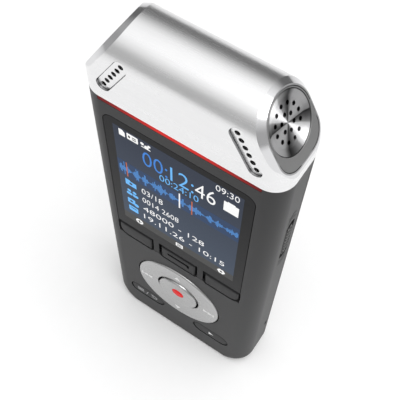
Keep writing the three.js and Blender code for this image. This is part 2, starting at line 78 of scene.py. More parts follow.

# %% [markdown]
# ## Camera
# The recorder is seen from high above its right front corner. The camera is placed
# from its position and three axes, with a lens of about 66 mm, because a look-at constraint
# would leave out its slight roll.

# %% Place the camera
CAMERA_PLACE = (42.05, FRONT - 59.25, 204.17)
CAMERA_RIGHT = np.array((0.8303, 0.5569, 0.0206))
CAMERA_BACK = np.array((0.2590, -0.4189, 0.8703))
CAMERA_BACK /= np.linalg.norm(CAMERA_BACK)
CAMERA_RIGHT -= CAMERA_BACK * CAMERA_RIGHT.dot(CAMERA_BACK)
CAMERA_RIGHT /= np.linalg.norm(CAMERA_RIGHT)
CAMERA_UP = np.cross(CAMERA_BACK, CAMERA_RIGHT)

lens = bpy.data.cameras.new("camera")
lens.sensor_width = 36
lens.lens = 65.88
lens.clip_start = 0.01
camera = bpy.data.objects.new("camera", lens)
bpy.context.scene.collection.objects.link(camera)
turned = np.eye(4)
turned[:3, :3] = np.stack([CAMERA_RIGHT, CAMERA_UP, CAMERA_BACK], axis=1)
turned[:3, 3] = np.array(CAMERA_PLACE) * MM
camera.matrix_world = Matrix(turned.tolist())
bpy.context.scene.camera = camera
print("camera at", [round(c * MM, 4) for c in CAMERA_PLACE])

# %% [markdown]
# ## Outlines and skins
# Nearly every part of a moulded case is an outline carried along a path. So one helper gives
# rounded outlines, and another puts faces over a stack of them. A Bevel modifier on a plain
# box would be quicker, but would not let an outline change its size and radius on the way.

# %% Rounded outlines
def rounded_outline(x0, z0, x1, z1, radii, steps=10):
    """Points round a rectangle, anticlockwise from its lower left corner.

    Each corner is a quarter circle: its centre lies one radius in from both sides, and its
    points are centre + radius * (cos t, sin t) while t turns through 90 degrees.
    """
    radii = np.broadcast_to(np.asarray(radii, float), 4)
    corners = np.array([(x0, z0), (x1, z0), (x1, z1), (x0, z1)], float)
    inwards = np.array([(1, 1), (-1, 1), (-1, -1), (1, -1)])
    centres = corners + inwards * radii[:, None]
    starts = np.radians([180, 270, 0, 90])
    turn = starts[:, None] + np.linspace(0, np.pi / 2, steps + 1)
    around = np.stack([np.cos(turn), np.sin(turn)], axis=-1)
    return (centres[:, None] + radii[:, None, None] * around).reshape(-1, 2)


def circle(x, z, r, steps=48):
    """Points x + r cos t, z + r sin t for a full turn of t."""
    turn = np.arange(steps) * 2 * np.pi / steps
    return np.stack([x + r * np.cos(turn), z + r * np.sin(turn)], axis=-1)


# %% A skin over a stack of outlines
def outward(mesh):
    """Turns a closed mesh right side out: its signed volume must be positive."""
    held = bmesh.new()
    held.from_mesh(mesh)
    if held.calc_volume(signed=True) < 0:
        bmesh.ops.reverse_faces(held, faces=held.faces)
    held.to_mesh(mesh)
    held.free()


def place_piece(name, mesh):
    """Puts a mesh into the scene as a new object."""
    piece = bpy.data.objects.new(name, mesh)
    bpy.context.scene.collection.objects.link(piece)
    return piece


def make_piece(name, rows, loop=False):
    """Joins rows of points, given in millimetres, into a closed mesh.

    Point i of row k joins points i and i + 1 of row k + 1. The end rows are closed by a face
    each, or with loop=True the last row joins the first.
    """
    count, size = rows.shape[:2]
    index = np.arange(count * size).reshape(count, size)
    beside = np.roll(index, -1, axis=1)
    quads = [np.stack([index[:-1], beside[:-1], beside[1:], index[1:]], axis=-1).reshape(-1, 4)]
    if loop:
        quads.append(np.stack([index[-1], beside[-1], beside[0], index[0]], axis=-1))
    faces = np.concatenate(quads).tolist()
    if not loop:
        faces += [index[0][::-1].tolist(), index[-1].tolist()]
    mesh = bpy.data.meshes.new(name)
    mesh.from_pydata((rows.reshape(-1, 3) * MM).tolist(), [], faces)
    outward(mesh)
    return place_piece(name, mesh)


def join_marks(name, marks):
    """Joins small pieces into one and removes them, in the order they come."""
    held = bmesh.new()
    for mark in marks:
        held.from_mesh(mark.data)
        bpy.data.objects.remove(mark)
    mesh = bpy.data.meshes.new(name)
    held.to_mesh(mesh)
    held.free()
    return place_piece(name, mesh)


def at_depth(outline, depth):
    """Stands a front view (x, z) upright in the scene, a given depth behind the front face."""
    depth = np.broadcast_to(depth, len(outline))
    return np.stack([outline[:, 0], FRONT + depth, outline[:, 1]], axis=-1)


def prism(name, outline, front, back):
    """A front view carried straight back from one depth to another."""
    return make_piece(name, np.stack([at_depth(outline, back), at_depth(outline, front)]))


# %% [markdown]
# ## Cutting and shading
# Holes are cut with Boolean modifiers, which are applied at once. A cut leaves long thin faces
# that shade badly when they are smoothed by averaging. So each corner gets the exact normal of
# the form that its face lies on, worked out from a formula, and a cut face keeps its own.

# %% Cut a piece, then set exact normals
def carve(piece, tools, operation="DIFFERENCE"):
    """Cuts piece with each tool in turn, keeps the result as its mesh, and removes the tools."""
    for tool in tools:
        step = piece.modifiers.new("cut", "BOOLEAN")
        step.operation = operation
        step.solver = "MANIFOLD"
        step.object = tool
    shown = piece.evaluated_get(bpy.context.evaluated_depsgraph_get())
    result = bpy.data.meshes.new_from_object(shown)
    result.materials.clear()
    piece.modifiers.clear()
    piece.data = result
    result.name = piece.name
    for tool in tools:
        bpy.data.objects.remove(tool)
    return piece


def unit(vectors):
    """Each vector divided by its own length."""
    return vectors / np.maximum(np.linalg.norm(vectors, axis=-1, keepdims=True), 1e-9)


def corners_of(mesh):
    """For each face corner: its point in millimetres, its face's number and that face's normal."""
    points = np.empty(len(mesh.vertices) * 3)
    mesh.vertices.foreach_get("co", points)
    vertex = np.empty(len(mesh.loops), int)
    mesh.loops.foreach_get("vertex_index", vertex)
    normals = np.empty(len(mesh.polygons) * 3)
    mesh.polygons.foreach_get("normal", normals)
    sizes = np.empty(len(mesh.polygons), int)
    mesh.polygons.foreach_get("loop_total", sizes)
    face = np.repeat(np.arange(len(sizes)), sizes)
    return points.reshape(-1, 3)[vertex] / MM, face, normals.reshape(-1, 3)[face]


def shade_by(piece, forms, limit=16):
    """Gives each corner the normal of the form that fits its face best, within limit degrees.

    Returns the number of that form for each face, or -1 where a face keeps its own normal.
    """
    mesh = piece.data
    points, face, flat = corners_of(mesh)
    chosen = flat.copy()
    best = np.full(len(flat), math.cos(math.radians(limit)))
    form_of = np.full(len(flat), -1)
    for number, form in enumerate(forms):
        guess = unit(form(points))
        fit = (guess * flat).sum(axis=1)
        better = fit > best
        chosen[better] = guess[better]
        best[better] = fit[better]
        form_of[better] = number
    mesh.polygons.foreach_set("use_smooth", np.ones(len(mesh.polygons), bool))
    mesh.normals_split_custom_set(chosen.tolist())
    first = np.searchsorted(face, np.arange(len(mesh.polygons)))
    return form_of[first]


def shade_soft(piece, angle=32):
    """Smooths everything except edges sharper than angle degrees."""
    piece.data.shade_smooth()
    piece.data.set_sharp_from_angle(angle=math.radians(angle))
    return piece


# %% [markdown]
# ## Finishes
# A finish is a Principled shader fed by procedural nodes on Object coordinates, so the grain
# stays on the part at its real size. Two effects come back in many finishes and are built once
# as node groups: the fine grain of moulded plastic, and the fine lines of brushed metal.

# %% Node helpers
def new_group(name, inputs, outputs):
    """A node group with named inputs and outputs, and its two end nodes."""
    group = bpy.data.node_groups.new(name, "ShaderNodeTree")
    for label, kind, value in inputs:
        socket = group.interface.new_socket(label, in_out="INPUT", socket_type=kind)
        socket.default_value = value
    for label, kind in outputs:
        group.interface.new_socket(label, in_out="OUTPUT", socket_type=kind)
    return group, group.nodes.new("NodeGroupInput"), group.nodes.new("NodeGroupOutput")


def add_node(tree, kind, settings=(), **values):
    """Adds a node, sets its properties, and fills its inputs by name with a value or a link."""
    node = tree.nodes.new(kind)
    for key, value in dict(settings).items():
        setattr(node, key, value)
    for key, value in values.items():
        socket = node.inputs[int(key[1:]) if key[1:].isdigit() else key.replace("_", " ")]
        if isinstance(value, bpy.types.NodeSocket):
            tree.links.new(value, socket)
        else:
            socket.default_value = value
    return node


def maths(tree, operation, first, second=0.5):
    """One Math node's result."""
    return add_node(tree, "ShaderNodeMath", {"operation": operation}, _0=first, _1=second).outputs[0]


def ramp_between(tree, value, low, high, to_low=0.0, to_high=1.0):
    """A value's place between low and high, as a number between to_low and to_high."""
    node = add_node(tree, "ShaderNodeMapRange", _0=value, _1=low, _2=high, _3=to_low, _4=to_high)
    return node.outputs[0]


def mix_colours(tree, factor, first, second):
    """The first colour at factor 0, the second at factor 1."""
    node = add_node(tree, "ShaderNodeMix", {"data_type": "RGBA"}, _0=factor, _6=first, _7=second)
    return node.outputs[2]


# %% The grain group
VECTOR, FLOAT, COLOUR = "NodeSocketVector", "NodeSocketFloat", "NodeSocketColor"

grain_group, grain_in, grain_out = new_group(
    "moulded_grain",
    [("Vector", VECTOR, (0, 0, 0)), ("Colour", COLOUR, (0.1, 0.1, 0.1, 1)), ("Roughness", FLOAT, 0.5),
     ("Grain Scale", FLOAT, 5000.0), ("Contrast", FLOAT, 0.1)],
    [("Colour", COLOUR), ("Roughness", FLOAT), ("Height", FLOAT)],
)
speckle = add_node(grain_group, "ShaderNodeTexNoise", Vector=grain_in.outputs["Vector"],
                   Scale=grain_in.outputs["Grain Scale"], Detail=3.0, Roughness=0.6)
patches = add_node(grain_group, "ShaderNodeTexNoise", Vector=grain_in.outputs["Vector"],
                   Scale=90.0, Detail=3.0)
speck = maths(grain_group, "SUBTRACT", speckle.outputs[0])
patch = maths(grain_group, "SUBTRACT", patches.outputs[0])
both = maths(grain_group, "ADD", speck, maths(grain_group, "MULTIPLY", patch, 0.5))
change = maths(grain_group, "MULTIPLY", both, grain_in.outputs["Contrast"])
lighter = maths(grain_group, "ADD", maths(grain_group, "MULTIPLY", change, 4.0), 1.0)
toned = add_node(grain_group, "ShaderNodeVectorMath", {"operation": "SCALE"}, _0=grain_in.outputs["Colour"],
                 Scale=lighter)
rougher = maths(grain_group, "ADD", grain_in.outputs["Roughness"], change)
grain_group.links.new(toned.outputs[0], grain_out.inputs["Colour"])
grain_group.links.new(rougher, grain_out.inputs["Roughness"])
grain_group.links.new(speckle.outputs[0], grain_out.inputs["Height"])
print("group", grain_group.name)

# %% The brushed lines group
lines_group, lines_in, lines_out = new_group(
    "brushed_lines",
    [("Vector", VECTOR, (0, 0, 0)), ("Colour", COLOUR, (0.6, 0.6, 0.6, 1)), ("Roughness", FLOAT, 0.3),
     ("Contrast", FLOAT, 0.1)],
    [("Colour", COLOUR), ("Roughness", FLOAT), ("Height", FLOAT)],
)
fine = add_node(lines_group, "ShaderNodeTexNoise", Vector=lines_in.outputs["Vector"], Scale=1.0, Detail=4.0,
                Roughness=0.7)
broad = add_node(lines_group, "ShaderNodeTexNoise", Vector=lines_in.outputs["Vector"],
                 Scale=0.12, Detail=2.0)
streak = maths(lines_group, "SUBTRACT", fine.outputs[0])
sweep = maths(lines_group, "SUBTRACT", broad.outputs[0])
both = maths(lines_group, "ADD", streak, sweep)
change = maths(lines_group, "MULTIPLY", both, lines_in.outputs["Contrast"])
lighter = maths(lines_group, "ADD", change, 1.0)
toned = add_node(lines_group, "ShaderNodeVectorMath", {"operation": "SCALE"}, _0=lines_in.outputs["Colour"],
                 Scale=lighter)
rougher = maths(lines_group, "ADD", lines_in.outputs["Roughness"], change)
lines_group.links.new(toned.outputs[0], lines_out.inputs["Colour"])
lines_group.links.new(rougher, lines_out.inputs["Roughness"])
lines_group.links.new(fine.outputs[0], lines_out.inputs["Height"])
print("group", lines_group.name)

# %% Material makers
def new_material(name):
    """A material, its nodes, its shader and the point on the piece."""
    material = bpy.data.materials.new(name)
    material.use_nodes = True
    tree = material.node_tree
    shader = tree.nodes["Principled BSDF"]
    place = add_node(tree, "ShaderNodeTexCoord").outputs["Object"]
    return material, tree, shader, place


def grained(name, colour, roughness, scale=5000.0, contrast=0.1, bump=0.15, **constants):
    """A moulded or coated finish: grain varies its colour and roughness, and lifts its surface."""
    material, tree, shader, place = new_material(name)
    grain = add_node(tree, "ShaderNodeGroup", {"node_tree": grain_group}, Vector=place, Colour=(*colour, 1),
                     Roughness=roughness, Grain_Scale=scale, Contrast=contrast)
    lift = add_node(tree, "ShaderNodeBump", Strength=bump, Distance=0.00004, Height=grain.outputs["Height"])
    tree.links.new(grain.outputs["Colour"], shader.inputs["Base Color"])
    tree.links.new(grain.outputs["Roughness"], shader.inputs["Roughness"])
    tree.links.new(lift.outputs[0], shader.inputs["Normal"])
    for key, value in constants.items():
        shader.inputs[key.replace("_", " ")].default_value = value
    return material


def brushed(name, colour, roughness, stretch, contrast=0.1, bump=0.1, lines_map=None, **constants):
    """Metal with fine lines. stretch scales the pattern: the lines run along its smallest number."""
    material, tree, shader, place = new_material(name)
    source = place
    if lines_map:
        source = add_node(tree, "ShaderNodeUVMap", {"uv_map": lines_map}).outputs[0]
        way = add_node(tree, "ShaderNodeTangent", {"direction_type": "UV_MAP", "uv_map": lines_map})
        tree.links.new(way.outputs[0], shader.inputs["Tangent"])
    drawn = add_node(tree, "ShaderNodeMapping", Vector=source, Scale=stretch).outputs[0]
    lines = add_node(tree, "ShaderNodeGroup", {"node_tree": lines_group}, Vector=drawn, Colour=(*colour, 1),
                     Roughness=roughness, Contrast=contrast)
    lift = add_node(tree, "ShaderNodeBump", Strength=bump, Distance=0.00001, Height=lines.outputs["Height"])
    tree.links.new(lines.outputs["Colour"], shader.inputs["Base Color"])
    tree.links.new(lines.outputs["Roughness"], shader.inputs["Roughness"])
    tree.links.new(lift.outputs[0], shader.inputs["Normal"])
    shader.inputs["Metallic"].default_value = 1.0
    for key, value in constants.items():
        shader.inputs[key.replace("_", " ")].default_value = value
    return material


# %% The finishes of this recorder
anthracite = grained("anthracite_plastic", (0.034, 0.034, 0.035), 0.42, contrast=0.06,
                     Specular_IOR_Level=0.12)
anthracite_key = grained("anthracite_key", (0.022, 0.022, 0.023), 0.38, contrast=0.05,
                         Specular_IOR_Level=0.08)
satin_metal = brushed("satin_header", (0.79, 0.79, 0.795), 0.26, (500, 6000, 6000),
                      contrast=0.09, bump=0.2)
polished_metal = brushed("polished_edge", (0.67, 0.67, 0.68), 0.14, (900, 900, 900),
                         contrast=0.05, bump=0.02)
# Milled metal for the cut walls in the slots and seats, with a much darker colour that is painted shade in
# those recesses.
milled_wall_painted_shade = brushed("milled_wall_painted_shade", (0.34, 0.34, 0.345), 0.22, (900, 900, 900),
                      contrast=0.08, bump=0.02)
plate_metal = grained("blasted_plate", (0.25, 0.25, 0.25), 0.45, scale=9000.0,
                      contrast=0.08, Metallic=0.9)
window_gloss = grained("window_gloss", (0.008, 0.008, 0.009), 0.12, scale=1500.0,
                       contrast=0.01, bump=0.0, Specular_IOR_Level=0.05)
dark_plastic = grained("dark_plastic", (0.008, 0.008, 0.008), 0.45, Specular_IOR_Level=0.12)
soft_rubber = grained("soft_rubber", (0.012, 0.012, 0.012), 0.8, scale=2500.0)
plain_steel = brushed("plain_steel", (0.5, 0.5, 0.52), 0.3, (2500, 2500, 2500), contrast=0.15)
board_green = grained("board_green", (0.015, 0.12, 0.05), 0.35, scale=1200.0, contrast=0.25)
cell_wrap = grained("cell_wrap", (0.30, 0.33, 0.36), 0.3, scale=700.0, contrast=0.1)
print(len(bpy.data.materials), "materials so far")

# %% [markdown]
# ## The body covers
# The body is a stack of rounded rectangles. Near the foot they shrink: the half width follows
# a 6 mm quarter circle and the half depth a 1.5 mm one, which rounds the foot the way a
# moulded shell is rounded. The back cover meets the front one at a fine seam, so each skin is
# the same stack with its points held on its own side of the seam.

# %% Form of the body
def case_size(z):
    """Half width and half depth at height z: each shrinks as a quarter circle near the foot."""
    low = np.clip(BASE_R - z, 0, BASE_R)
    lower = np.clip(EDGE_R - z, 0, EDGE_R)
    wide = HALF - BASE_R + np.sqrt(BASE_R**2 - low**2)
    deep = HALF_DEPTH - EDGE_R + np.sqrt(EDGE_R**2 - lower**2)
    return wide, deep


def case_rows(inset, top, low_side, high_side):
    """Outlines from foot to top, drawn in by inset, with y held between two limits."""
    foot = BASE_R * (1 - np.cos(np.linspace(0, np.pi / 2, 15)))
    fine = EDGE_R * (1 - np.cos(np.linspace(0, np.pi / 2, 9)))
    heights = np.unique(np.round(np.concatenate([fine, foot]), 4))
    rows = []
    for z in np.append(heights, top - inset):
        wide, deep = case_size(z)
        plan = rounded_outline(-wide + inset, MIDDLE - deep + inset, wide - inset, MIDDLE + deep - inset,
                               CORNER_R - inset, steps=16)
        plan[:, 1] = np.clip(plan[:, 1], low_side, high_side)
        rows.append(np.column_stack([plan, np.full(len(plan), z + inset)]))
    return np.stack(rows)


def case_normal(points):
    """Outward normal of the body's form: the way out of the nearest corner circle, tipped
    down by the slopes of the two quarter circles near the foot."""
    x, y, z = points[:, 0], points[:, 1] - MIDDLE, points[:, 2]
    wide, deep = case_size(z)
    out_x = np.maximum(np.abs(x) - (wide - CORNER_R), 0)
    out_y = np.maximum(np.abs(y) - (deep - CORNER_R), 0)
    way = unit(np.column_stack([out_x, out_y]))
    low = np.clip(BASE_R - z, 0, BASE_R * 0.999)
    lower = np.clip(EDGE_R - z, 0, EDGE_R * 0.999)
    slope_x = low / np.sqrt(BASE_R**2 - low**2)
    slope_y = lower / np.sqrt(EDGE_R**2 - lower**2)
    down = -way[:, 0] * slope_x - way[:, 1] * slope_y
    return np.column_stack([way[:, 0] * np.sign(x), way[:, 1] * np.sign(y), down])


# %% [markdown]
# ## Tools that cut the front
# The window lies in a shallow pocket, the keys, ring and lower buttons stand in their own
# holes, and the switch and the sockets come out through the side walls. Each tool is a prism
# with the outline of its part, grown by the real clearance.

# %% Outlines of the front's parts
WINDOW_LOW, WINDOW_HIGH = reach("display_window")
WINDOW_R = 2.4
KEY_SLIT = 0.45
SOFT_KEYS = {"soft_key_left": (2.6, 0.6, 0.6, 0.5), "soft_key_centre": (0.6, 0.6, 0.6, 0.6),
             "soft_key_right": (0.6, 2.6, 0.5, 0.6)}
PILLS = ("menu_button", "play_button")
ring_low, ring_high = reach("nav_ring")
RING_Z = (ring_low[2] + ring_high[2]) / 2
RING_R = (ring_high[0] - ring_low[0]) / 2
BUTTON_R = reach("record_button")[1][0]


def key_outline(node, grow=0.0):
    """A key's front view: its box with round corners, grown on every side."""
    low, high = reach(node)
    radii = np.array(SOFT_KEYS[node]) + grow if node in SOFT_KEYS else (high[2] - low[2]) / 2 + grow
    return rounded_outline(low[0] - grow, low[2] - grow, high[0] + grow, high[2] + grow, radii)


def window_outline(grow=0.0):
    """The window's front view: a rounded rectangle with two tabs down between the soft keys."""
    notch = reach("soft_key_centre")[1][2] + KEY_SLIT
    inner = reach("soft_key_centre")[1][0] + KEY_SLIT
    outer = reach("soft_key_right")[0][0] - KEY_SLIT
    side, top = WINDOW_HIGH[0] + grow, WINDOW_HIGH[2] + grow
    frame_part = rounded_outline(-side, notch, side, top, (0.01, 0.01, WINDOW_R, WINDOW_R))
    upper = frame_part[22:]
    foot = WINDOW_LOW[2]
    tabs = [(-side, notch), (-outer, notch), (-outer, foot), (-inner, foot), (-inner, notch),
            (inner, notch), (inner, foot), (outer, foot), (outer, notch), (side, notch)]
    return np.concatenate([np.array(tabs), upper])


# %% Cutting tools
def wall_block(node_side, low, high):
    """A block through a side wall: node_side is 1 for the right wall, -1 for the left."""
    near, far = sorted((node_side * (HALF - 2.4), node_side * (HALF + 1)))
    return prism("tool", rounded_outline(near, low[1], far, high[1], 0.15, steps=3), low[0], high[0])


def wall_stadium(depth, z, half_wide, half_tall):
    """A hole with round ends through the right wall, at a depth and height."""
    y = FRONT + depth
    view = rounded_outline(y - half_wide, z - half_tall, y + half_wide, z + half_tall, half_wide,
                           steps=12)
    rows = [np.column_stack([np.full(len(view), x), view]) for x in (HALF - 2.4, HALF + 1)]
    return make_piece("tool", np.stack(rows))


def wall_hole(node, r):
    """A round hole through the left wall, at the middle of a socket."""
    low, high = reach(node)
    turn = circle((low[1] + high[1]) / 2, (low[2] + high[2]) / 2, r, 32)
    rows = [np.column_stack([np.full(len(turn), x), turn]) for x in (-HALF - 1, -HALF + 2.4)]
    return make_piece("tool", np.stack(rows))


switch_low, switch_high = reach("side_switch")
SWITCH_Z = (switch_low[2] + switch_high[2]) / 2
SWITCH_DEPTH = (switch_low[1] + switch_high[1]) / 2 - FRONT
GRIP = 6.0
GRIP_R = 1.42
usb_low, usb_high = reach("usb_socket")
pocket_side = WINDOW_HIGH[0] + 0.12
pocket = rounded_outline(-pocket_side, WINDOW_LOW[2] - 0.12, pocket_side, WINDOW_HIGH[2] + 0.12,
                         (0.1, 0.1, 2.52, 2.52))
panel_low, panel_high = reach("display_panel")
screen = rounded_outline(panel_low[0] - 0.3, panel_low[2] - 0.3, panel_high[0] + 0.3,
                         panel_high[2] + 0.3, 0.4)
bar_low, bar_high = reach("light_bar")
bar_seat = rounded_outline(bar_low[0], bar_low[2], bar_high[0], BODY_TOP + 1, 0.02, steps=1)

front_tools = [prism("tool", pocket, -1, 1.0), prism("tool", screen, 0.5, 3.2),
               prism("tool", bar_seat, -1, 1.6),
               prism("tool", circle(0, RING_Z, RING_R + 0.25, 128), -1, 3.2)]
front_tools += [prism("tool", key_outline(node, 0.25), -1, 3.2) for node in (*SOFT_KEYS, *PILLS)]
front_tools += [
    wall_stadium(SWITCH_DEPTH, SWITCH_Z, 1.65, GRIP + 1.65),
    wall_stadium(SWITCH_DEPTH + 1.8, 17.6, 0.45, 1.3),
    wall_block(-1, (usb_low[1] - FRONT - 0.1, usb_low[2] - 0.15),
               (usb_high[1] - FRONT + 0.1, usb_high[2] + 0.15)),
    wall_hole("headphone_jack", 2.45),
    wall_hole("microphone_jack", 2.45),
]
print(len(front_tools), "tools for the front cover")

# %% Front cover
hollow = make_piece("tool", case_rows(WALL, BODY_TOP + 3, FRONT + 2.0, SEAM + 5))
front_cover = make_piece("front_cover_skin", case_rows(0, BODY_TOP, FRONT - 1, SEAM - 0.04))
carve(front_cover, [hollow, *front_tools])
shade_by(front_cover, [case_normal])
front_cover.data.materials.append(anthracite)
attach(front_cover, "case")
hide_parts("front_cover")
print("front cover", len(front_cover.data.polygons), "faces")

# %% Rear cover, with screw seats and the speaker's holes
speaker_low, speaker_high = reach("speaker")
SPEAKER_Z = (speaker_low[2] + speaker_high[2]) / 2
SCREWS = [f"screw_{side}_{level}" for side in ("left", "right") for level in ("lower", "upper")]


def middle_of(node):
    """The (x, z) middle of a CAD node's box."""
    low, high = reach(node)
    return (low[0] + high[0]) / 2, (low[2] + high[2]) / 2


deep = BACK - FRONT
rear_tools = [make_piece("tool", case_rows(WALL, BODY_TOP + 3, SEAM - 5, BACK + 1))]
rear_tools += [prism("tool", circle(*middle_of(node), 1.85, 40), deep - 3.2, deep + 1) for node in SCREWS]
spots = [(0.0, 0.0)] + [(r * math.cos(2 * math.pi * i / n), r * math.sin(2 * math.pi * i / n))
                        for n, r in ((6, 2.4), (12, 4.8)) for i in range(n)]
rear_tools += [prism("tool", circle(x, SPEAKER_Z + z, 0.6, 20), deep - 3, deep + 1) for x, z in spots]
rear_cover = make_piece("rear_cover_skin", case_rows(0, BODY_TOP, SEAM + 0.04, BACK + 1))
carve(rear_cover, rear_tools)
shade_by(rear_cover, [case_normal])
rear_cover.data.materials.append(anthracite)
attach(rear_cover, "case")
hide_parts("rear_cover")
print("rear cover", len(rear_cover.data.polygons), "faces")

# %% [markdown]
# ## The metal header
# The header is a bar with a half-round crest, cut off at both ends by planes that lean in by
# 31 degrees. Round each end face runs a bevel at 45 degrees. The real one is extruded and then
# milled, so it is made the same way: four simple forms are intersected, and only then are the
# slots and end seats cut.

# %% Forms of the header
END_TILT = math.radians(31)
END_RISE = 10.7
END_INSET = 4.5
CREST_Z = BODY_TOP + 10.5
CREST_RISE = HEADER_TOP - CREST_Z
PLATE_R = HALF_DEPTH - 1.0
PLATE_DROP = 8.3
PLATE_FOOT = 2.1
GRILLE_R = PLATE_R - 0.8
FOOT_FLARE = 3.6
SINE, COSINE = math.sin(END_TILT), math.cos(END_TILT)


def end_axes(side):
    """An end face's centre, and its axes: along its width, up its slope, and out of the metal."""
    centre = np.array((side * (HALF - END_INSET), MIDDLE, BODY_TOP + END_RISE))
    back = np.array((0.0, side, 0.0))
    out = np.array((side * COSINE, 0.0, SINE))
    return centre, np.stack([back, np.cross(out, back), out])


def on_end(side, local):
    """Places points given as (across, up, out) on an end face."""
    centre, axes = end_axes(side)
    return centre + local @ axes


def arch(inset=0.0, foot=None, steps=64):
    """An end face's outline: a half circle over straight sides, with two large lower corners."""
    r = PLATE_R - inset
    drop = PLATE_DROP - inset if foot is None else foot
    corner = r - PLATE_FOOT
    top = np.linspace(0, np.pi, steps + 1)
    left = np.linspace(np.pi, 1.5 * np.pi, 25)
    right = np.linspace(1.5 * np.pi, 2 * np.pi, 25)
    middle = corner - drop
    return np.concatenate([
        np.column_stack([r * np.cos(top), r * np.sin(top)]),
        np.column_stack([corner * np.cos(left) - PLATE_FOOT, corner * np.sin(left) + middle]),
        np.column_stack([corner * np.cos(right) + PLATE_FOOT, corner * np.sin(right) + middle]),
    ])


def raised(outline, out):
    """An outline's points with a third value, their distance out, set beside them."""
    return np.column_stack([outline, np.broadcast_to(out, len(outline))])


def end_solid(name, side, layers):
    """A stack of (outline, distance out) layers on an end face."""
    return make_piece(name, np.stack([on_end(side, raised(outline, out)) for outline, out in layers]))


def end_hole(side, x, y, r, first, last, steps=48):
    """A round tool in an end face, from one distance out to another."""
    round_hole = circle(x, y, r, steps)
    return end_solid("tool", side, [(round_hole, first), (round_hole, last)])


def crest_rows(inset, foot):
    """The header's side view carried across: straight sides under half an ellipse."""
    turn = np.linspace(0, np.pi, 97)
    y = (HALF_DEPTH - inset) * np.cos(turn) + MIDDLE
    z = (CREST_RISE - inset) * np.sin(turn) + CREST_Z
    view = np.column_stack([np.append(y, (y[-1], y[0])), np.append(z, (foot, foot))])
    return np.stack([np.column_stack([np.full(len(view), x), view]) for x in (-HALF - 1, HALF + 1)])


def plan_prism(inset, low, high):
    """The header seen from above, carried straight up."""
    plan = rounded_outline(-HALF + inset, MIDDLE - HALF_DEPTH + inset, HALF - inset,
                           MIDDLE + HALF_DEPTH - inset, CORNER_R - inset, steps=24)
    return make_piece("tool", np.stack([raised(plan, low), raised(plan, high)]))


def end_taper(side):
    """The end face's outline widening as it goes in: as much as its depth all round, and
    FOOT_FLARE times as much at the foot."""
    far = 60.0
    wide = arch(-far, foot=PLATE_DROP + FOOT_FLARE * far)
    return end_solid("tool", side, [(arch(), 0.0), (wide, -far)])


# %% Exact normals of the header
def crest_normal(points):
    """Out of the half ellipse above the straight sides: (0, y / a^2, z / b^2)."""
    y, z = points[:, 1] - MIDDLE, np.maximum(points[:, 2] - CREST_Z, 0)
    return np.column_stack([np.zeros(len(y)), y / HALF_DEPTH**2, z / CREST_RISE**2])


def plan_normal(points):
    """Out of the nearest upright corner."""
    x, y = points[:, 0], points[:, 1] - MIDDLE
    out_x = np.maximum(np.abs(x) - (HALF - CORNER_R), 0) * np.sign(x)
    out_y = np.maximum(np.abs(y) - (HALF_DEPTH - CORNER_R), 0) * np.sign(y)
    return np.column_stack([out_x, out_y, np.zeros(len(x))])


def taper_normal(side):
    """Out of the bevel round one end face. On a point whose outline faces the angle t, the
    normal is (cos t, sin t, 1), and below the middle the gentler foot adds
    (1 - FOOT_FLARE) sin t to it."""
    gentler = FOOT_FLARE - 1

    def normal(points):
        centre, axes = end_axes(side)
        across, up, out = ((points - centre) @ axes.T).T
        depth = np.maximum(-out, 0)
        corner_up = PLATE_R - PLATE_FOOT - PLATE_DROP - gentler * depth
        turn = np.where(up > 0, np.arctan2(up, across), np.where(across > 0, 0.0, np.pi))
        low = np.arctan2(up - corner_up, across - np.clip(across, -PLATE_FOOT, PLATE_FOOT))
        turn = np.where(up < corner_up, low, turn)
        local = np.column_stack([np.cos(turn), np.sin(turn), 1 - gentler * np.minimum(np.sin(turn), 0)])
        return local @ axes
    return normal


# %% Slots beside the end faces
SLOT_HALF = 4.0
SLOT_R = 1.5


def slot_outline(side, inset=0.0, steps=24):
    """A stadium that leans with the end face: two half circles on a slanted line."""
    x, z = side * (HALF - 8.25), BODY_TOP + 7.65
    lean = side * END_TILT
    along = SLOT_HALF * np.array((-math.sin(lean), math.cos(lean)))
    turn = lean + np.linspace(0, np.pi, steps)
    half = (SLOT_R - inset) * np.column_stack([np.cos(turn), np.sin(turn)])
    return np.concatenate([half + along, -half - along]) + (x, z)


# %% Header shell
header = make_piece("header_skin", crest_rows(0, BODY_TOP))
carve(header, [plan_prism(0, BODY_TOP - 1, HEADER_TOP + 1), end_taper(1), end_taper(-1)], "INTERSECT")
inner = make_piece("tool", crest_rows(1.2, BODY_TOP - 1))
inner_ends = [end_hole(side, 0, 0, 80, -2.3, -90, 8) for side in (1, -1)]
carve(inner, [plan_prism(1.2, BODY_TOP - 2, HEADER_TOP + 1), *inner_ends], "INTERSECT")
header_tools = [inner]
for side in (1, -1):
    seat = arch(0.3)
    header_tools += [
        end_solid("tool", side, [(seat, -1.25), (seat, 1.0)]),
        end_hole(side, 0, 0, GRILLE_R + 0.25, -1.9, -1, 96),
        end_hole(side, 0, 0, 4.3, -3.3, -1.5),
        prism("tool", slot_outline(side), -1, 2.2),
        prism("tool", slot_outline(side, -0.45), 0.95, 2.2),
    ]
carve(header, header_tools)
form = shade_by(header, [crest_normal, plan_normal, taper_normal(1), taper_normal(-1)])
header.data.materials.append(satin_metal)
header.data.materials.append(polished_metal)
header.data.materials.append(milled_wall_painted_shade)
# Cut faces, the walls of slots and seats, take the third material, whose dark colour is painted shade.
header.data.polygons.foreach_set("material_index", np.array([0, 0, 1, 1, 2])[form])
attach(header, "case")
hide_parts("header_shell")
print("header", len(header.data.polygons), "faces")
